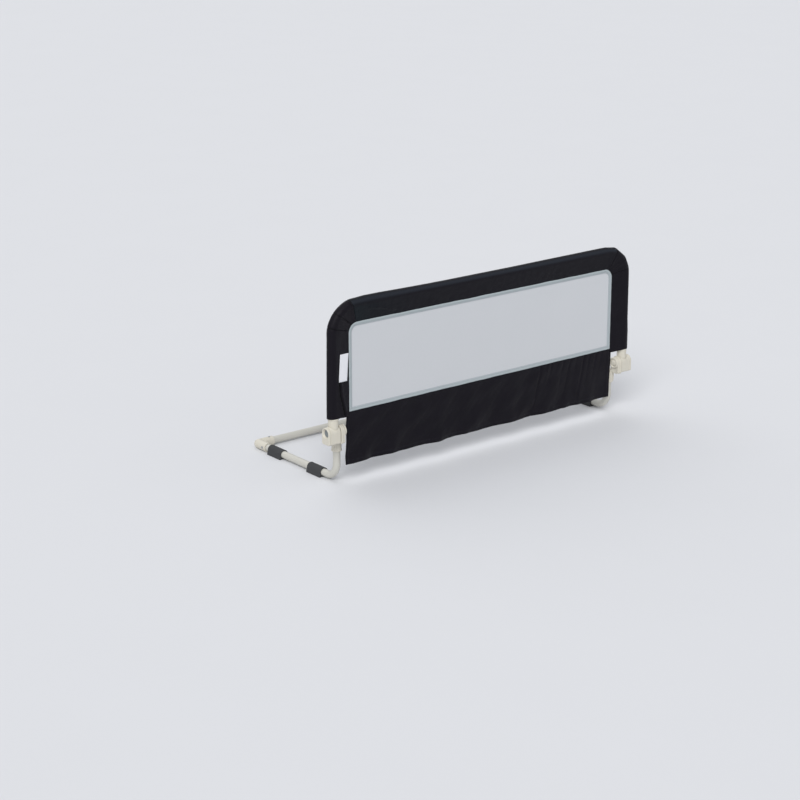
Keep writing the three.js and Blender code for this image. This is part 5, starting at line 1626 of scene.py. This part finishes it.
def springs():
    """Coils behind the lock gears and leaf springs under the snap buttons."""
    for (_, label), (name, spring, press, body) in itertools.product(SIDES, SPRINGS):
        node = f"{label}_{spring}"
        piece = linked(f"{label}_{name}", frame["nodes"][node].data.copy())
        tidy_normals(piece)
        piece.data.materials.clear()
        piece.data.materials.append(finish("Zinc-plated steel"))
        finished(piece, body, "steel", node)
        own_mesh(piece)


def finish_hidden_nodes():
    """Steel for the tubes and bolts inside the rail, and nylon for its lock gears."""
    for name, node in frame["nodes"].items():
        node.data.materials.clear()
        gear = name.endswith("lock_gear")
        node.data.materials.append(finish("Dark glass-filled nylon" if gear else "Zinc-plated steel"))


# Stage

# The camera stands where the photograph was taken from: place in metres, then angles in radians
CAMERA_PLACE = (-3.4367, -4.1264, SLEEVE_END * MM + 1.5957)
CAMERA_TURN = 0.673
CAMERA_TILT = 0.3059
CAMERA_ROLL = -0.0017
SENSOR_WIDTH = 36
# Far soft lights: name, place that they shine from, spread in degrees and strength
SUNS = (
    ("Key light", (-2.6, -2.6, 3.2), 35, 1.8),
    ("Back light", (0.5, 3.0, 3.2), 60, 0.5),
)
SKY_LIGHT = ("#f1f3f7", 0.6)
SKY_SEEN = ("#f1f2f3", 0.95)
FLOOR_HALF = 40000


def stage_floor():
    """Wide floor under the rail."""
    corners = [(FLOOR_HALF * x, FLOOR_HALF * y, 0) for x, y in ((-1, -1), (1, -1), (1, 1), (-1, 1))]
    add_piece("studio_floor", corners, [(0, 1, 2, 3)], finish("Studio floor"))


def stage_suns():
    """Far soft lights that shine towards the rail."""
    for name, place, spread, strength in SUNS:
        data = bpy.data.lights.new(name, "SUN")
        data.angle = math.radians(spread)
        data.energy = strength
        lamp = linked(name, data)
        lamp.location = place
        lamp.rotation_mode = "QUATERNION"
        lamp.rotation_quaternion = (-Vector(place)).to_track_quat("-Z", "Y")


def stage_world():
    """Even pale sky, a little brighter to the camera than to the rail."""
    world = bpy.data.worlds.new("Studio")
    bpy.context.scene.world = world
    world.use_nodes = True
    tree = world.node_tree
    tree.nodes.clear()
    seen_directly = add_node(tree, "ShaderNodeLightPath").outputs["Is Camera Ray"]
    light, seen = [
        add_node(tree, "ShaderNodeBackground", {"Color": linear(colour), "Strength": strength}).outputs[0]
        for colour, strength in (SKY_LIGHT, SKY_SEEN)
    ]
    sky = add_node(tree, "ShaderNodeMixShader", {0: seen_directly, 1: light, 2: seen})
    add_node(tree, "ShaderNodeOutputWorld", {"Surface": sky.outputs[0]})


def stage_camera():
    """Camera at the photograph's viewing angle."""
    turn, tilt, roll = CAMERA_TURN, CAMERA_TILT, CAMERA_ROLL
    forward = Vector((math.sin(turn) * math.cos(tilt), math.cos(turn) * math.cos(tilt), -math.sin(tilt)))
    level = Vector((math.cos(turn), -math.sin(turn), 0))
    steep = level.cross(forward)
    right = math.cos(roll) * level + math.sin(roll) * steep
    up = math.cos(roll) * steep - math.sin(roll) * level
    data = bpy.data.cameras.new("Camera")
    data.sensor_width = SENSOR_WIDTH
    data.lens = bpy.context.scene.guard_rail_stage.lens
    data.clip_start = 0.1
    data.clip_end = 200
    camera = linked("Camera", data)
    matrix = Matrix((right, up, -forward)).transposed().to_4x4()
    matrix.translation = Vector(CAMERA_PLACE)
    camera.matrix_world = matrix
    bpy.context.scene.camera = camera


# Operators, in the order that they are run

class GUARDRAIL_OT_stage(bpy.types.Operator):
    """Adds floor, soft lights, world and camera"""
    bl_idname = "guard_rail.stage"
    bl_label = "Studio Stage"

    def execute(self, context):
        stage_floor()
        stage_world()
        stage_suns()
        stage_camera()
        context.scene.view_settings.view_transform = "Standard"
        return {"FINISHED"}


class GUARDRAIL_OT_finishes(bpy.types.Operator):
    """Gives the hidden metal and nylon parts their finishes"""
    bl_idname = "guard_rail.finishes"
    bl_label = "Hidden Finishes"

    def execute(self, context):
        finish_hidden_nodes()
        return {"FINISHED"}


class GUARDRAIL_OT_border(bpy.types.Operator):
    """Sews the black border over the tube frame and hems its open ends"""
    bl_idname = "guard_rail.border"
    bl_label = "Cloth Border"

    def execute(self, context):
        fabric_border()
        hem_stitches()
        return {"FINISHED"}


class GUARDRAIL_OT_window(bpy.types.Operator):
    """Sets the net in its stitched binding tape"""
    bl_idname = "guard_rail.window"
    bl_label = "Net Window"

    def execute(self, context):
        window_binding()
        window_net()
        binding_stitches()
        return {"FINISHED"}


class GUARDRAIL_OT_skirt(bpy.types.Operator):
    """Hangs the skirt under the window"""
    bl_idname = "guard_rail.skirt"
    bl_label = "Skirt"

    def execute(self, context):
        skirt()
        skirt_stitches()
        return {"FINISHED"}


class GUARDRAIL_OT_tag(bpy.types.Operator):
    """Sews the blank tag to the left border"""
    bl_idname = "guard_rail.tag"
    bl_label = "Blank Tag"

    def execute(self, context):
        blank_tag()
        tag_stitches()
        return {"FINISHED"}


class GUARDRAIL_OT_hinges(bpy.types.Operator):
    """Moulds both hinges with their covers, buttons, brackets and caps"""
    bl_idname = "guard_rail.hinges"
    bl_label = "Hinges"

    def execute(self, context):
        hinges()
        return {"FINISHED"}


class GUARDRAIL_OT_legs(bpy.types.Operator):
    """Builds legs, arms, cross bar, elbows and grip pads"""
    bl_idname = "guard_rail.legs"
    bl_label = "Legs and Cross Bar"

    def execute(self, context):
        under_mattress()
        cross_bar()
        return {"FINISHED"}


class GUARDRAIL_OT_fasteners(bpy.types.Operator):
    """Adds screws and snap buttons"""
    bl_idname = "guard_rail.fasteners"
    bl_label = "Fasteners"

    def execute(self, context):
        fasteners()
        snap_buttons()
        return {"FINISHED"}


class GUARDRAIL_OT_springs(bpy.types.Operator):
    """Sets in the coils and leaf springs"""
    bl_idname = "guard_rail.springs"
    bl_label = "Springs"

    def execute(self, context):
        springs()
        return {"FINISHED"}


OPERATORS = (
    GUARDRAIL_OT_stage, GUARDRAIL_OT_finishes, GUARDRAIL_OT_border, GUARDRAIL_OT_window, GUARDRAIL_OT_skirt,
    GUARDRAIL_OT_tag, GUARDRAIL_OT_hinges, GUARDRAIL_OT_legs, GUARDRAIL_OT_fasteners, GUARDRAIL_OT_springs,
)
PROPERTY_GROUPS = {
    "guard_rail_cloth": GuardRailCloth,
    "guard_rail_fittings": GuardRailFittings,
    "guard_rail_stage": GuardRailStage,
}


class GUARDRAIL_PT_panel(bpy.types.Panel):
    """Lists the settings and the steps that build the guard rail"""
    bl_idname = "GUARDRAIL_PT_panel"
    bl_label = "Guard Rail"
    bl_space_type = "VIEW_3D"
    bl_region_type = "UI"
    bl_category = "Guard Rail"

    def draw(self, context):
        for group in PROPERTY_GROUPS:
            settings = getattr(context.scene, group)
            box = self.layout.box()
            for key in settings.__annotations__:
                box.prop(settings, key)
        for operator in OPERATORS:
            self.layout.operator(operator.bl_idname)


def register():
    for name, group in PROPERTY_GROUPS.items():
        bpy.utils.register_class(group)
        setattr(bpy.types.Scene, name, bpy.props.PointerProperty(type=group))
    for item in (*OPERATORS, GUARDRAIL_PT_panel):
        bpy.utils.register_class(item)


def unregister():
    for item in (GUARDRAIL_PT_panel, *reversed(OPERATORS)):
        bpy.utils.unregister_class(item)
    for name, group in PROPERTY_GROUPS.items():
        delattr(bpy.types.Scene, name)
        bpy.utils.unregister_class(group)


def main():
    register()
    for operator in OPERATORS:
        group, name = operator.bl_idname.split(".")
        getattr(getattr(bpy.ops, group), name)()


if __name__ == "__main__":
    main()
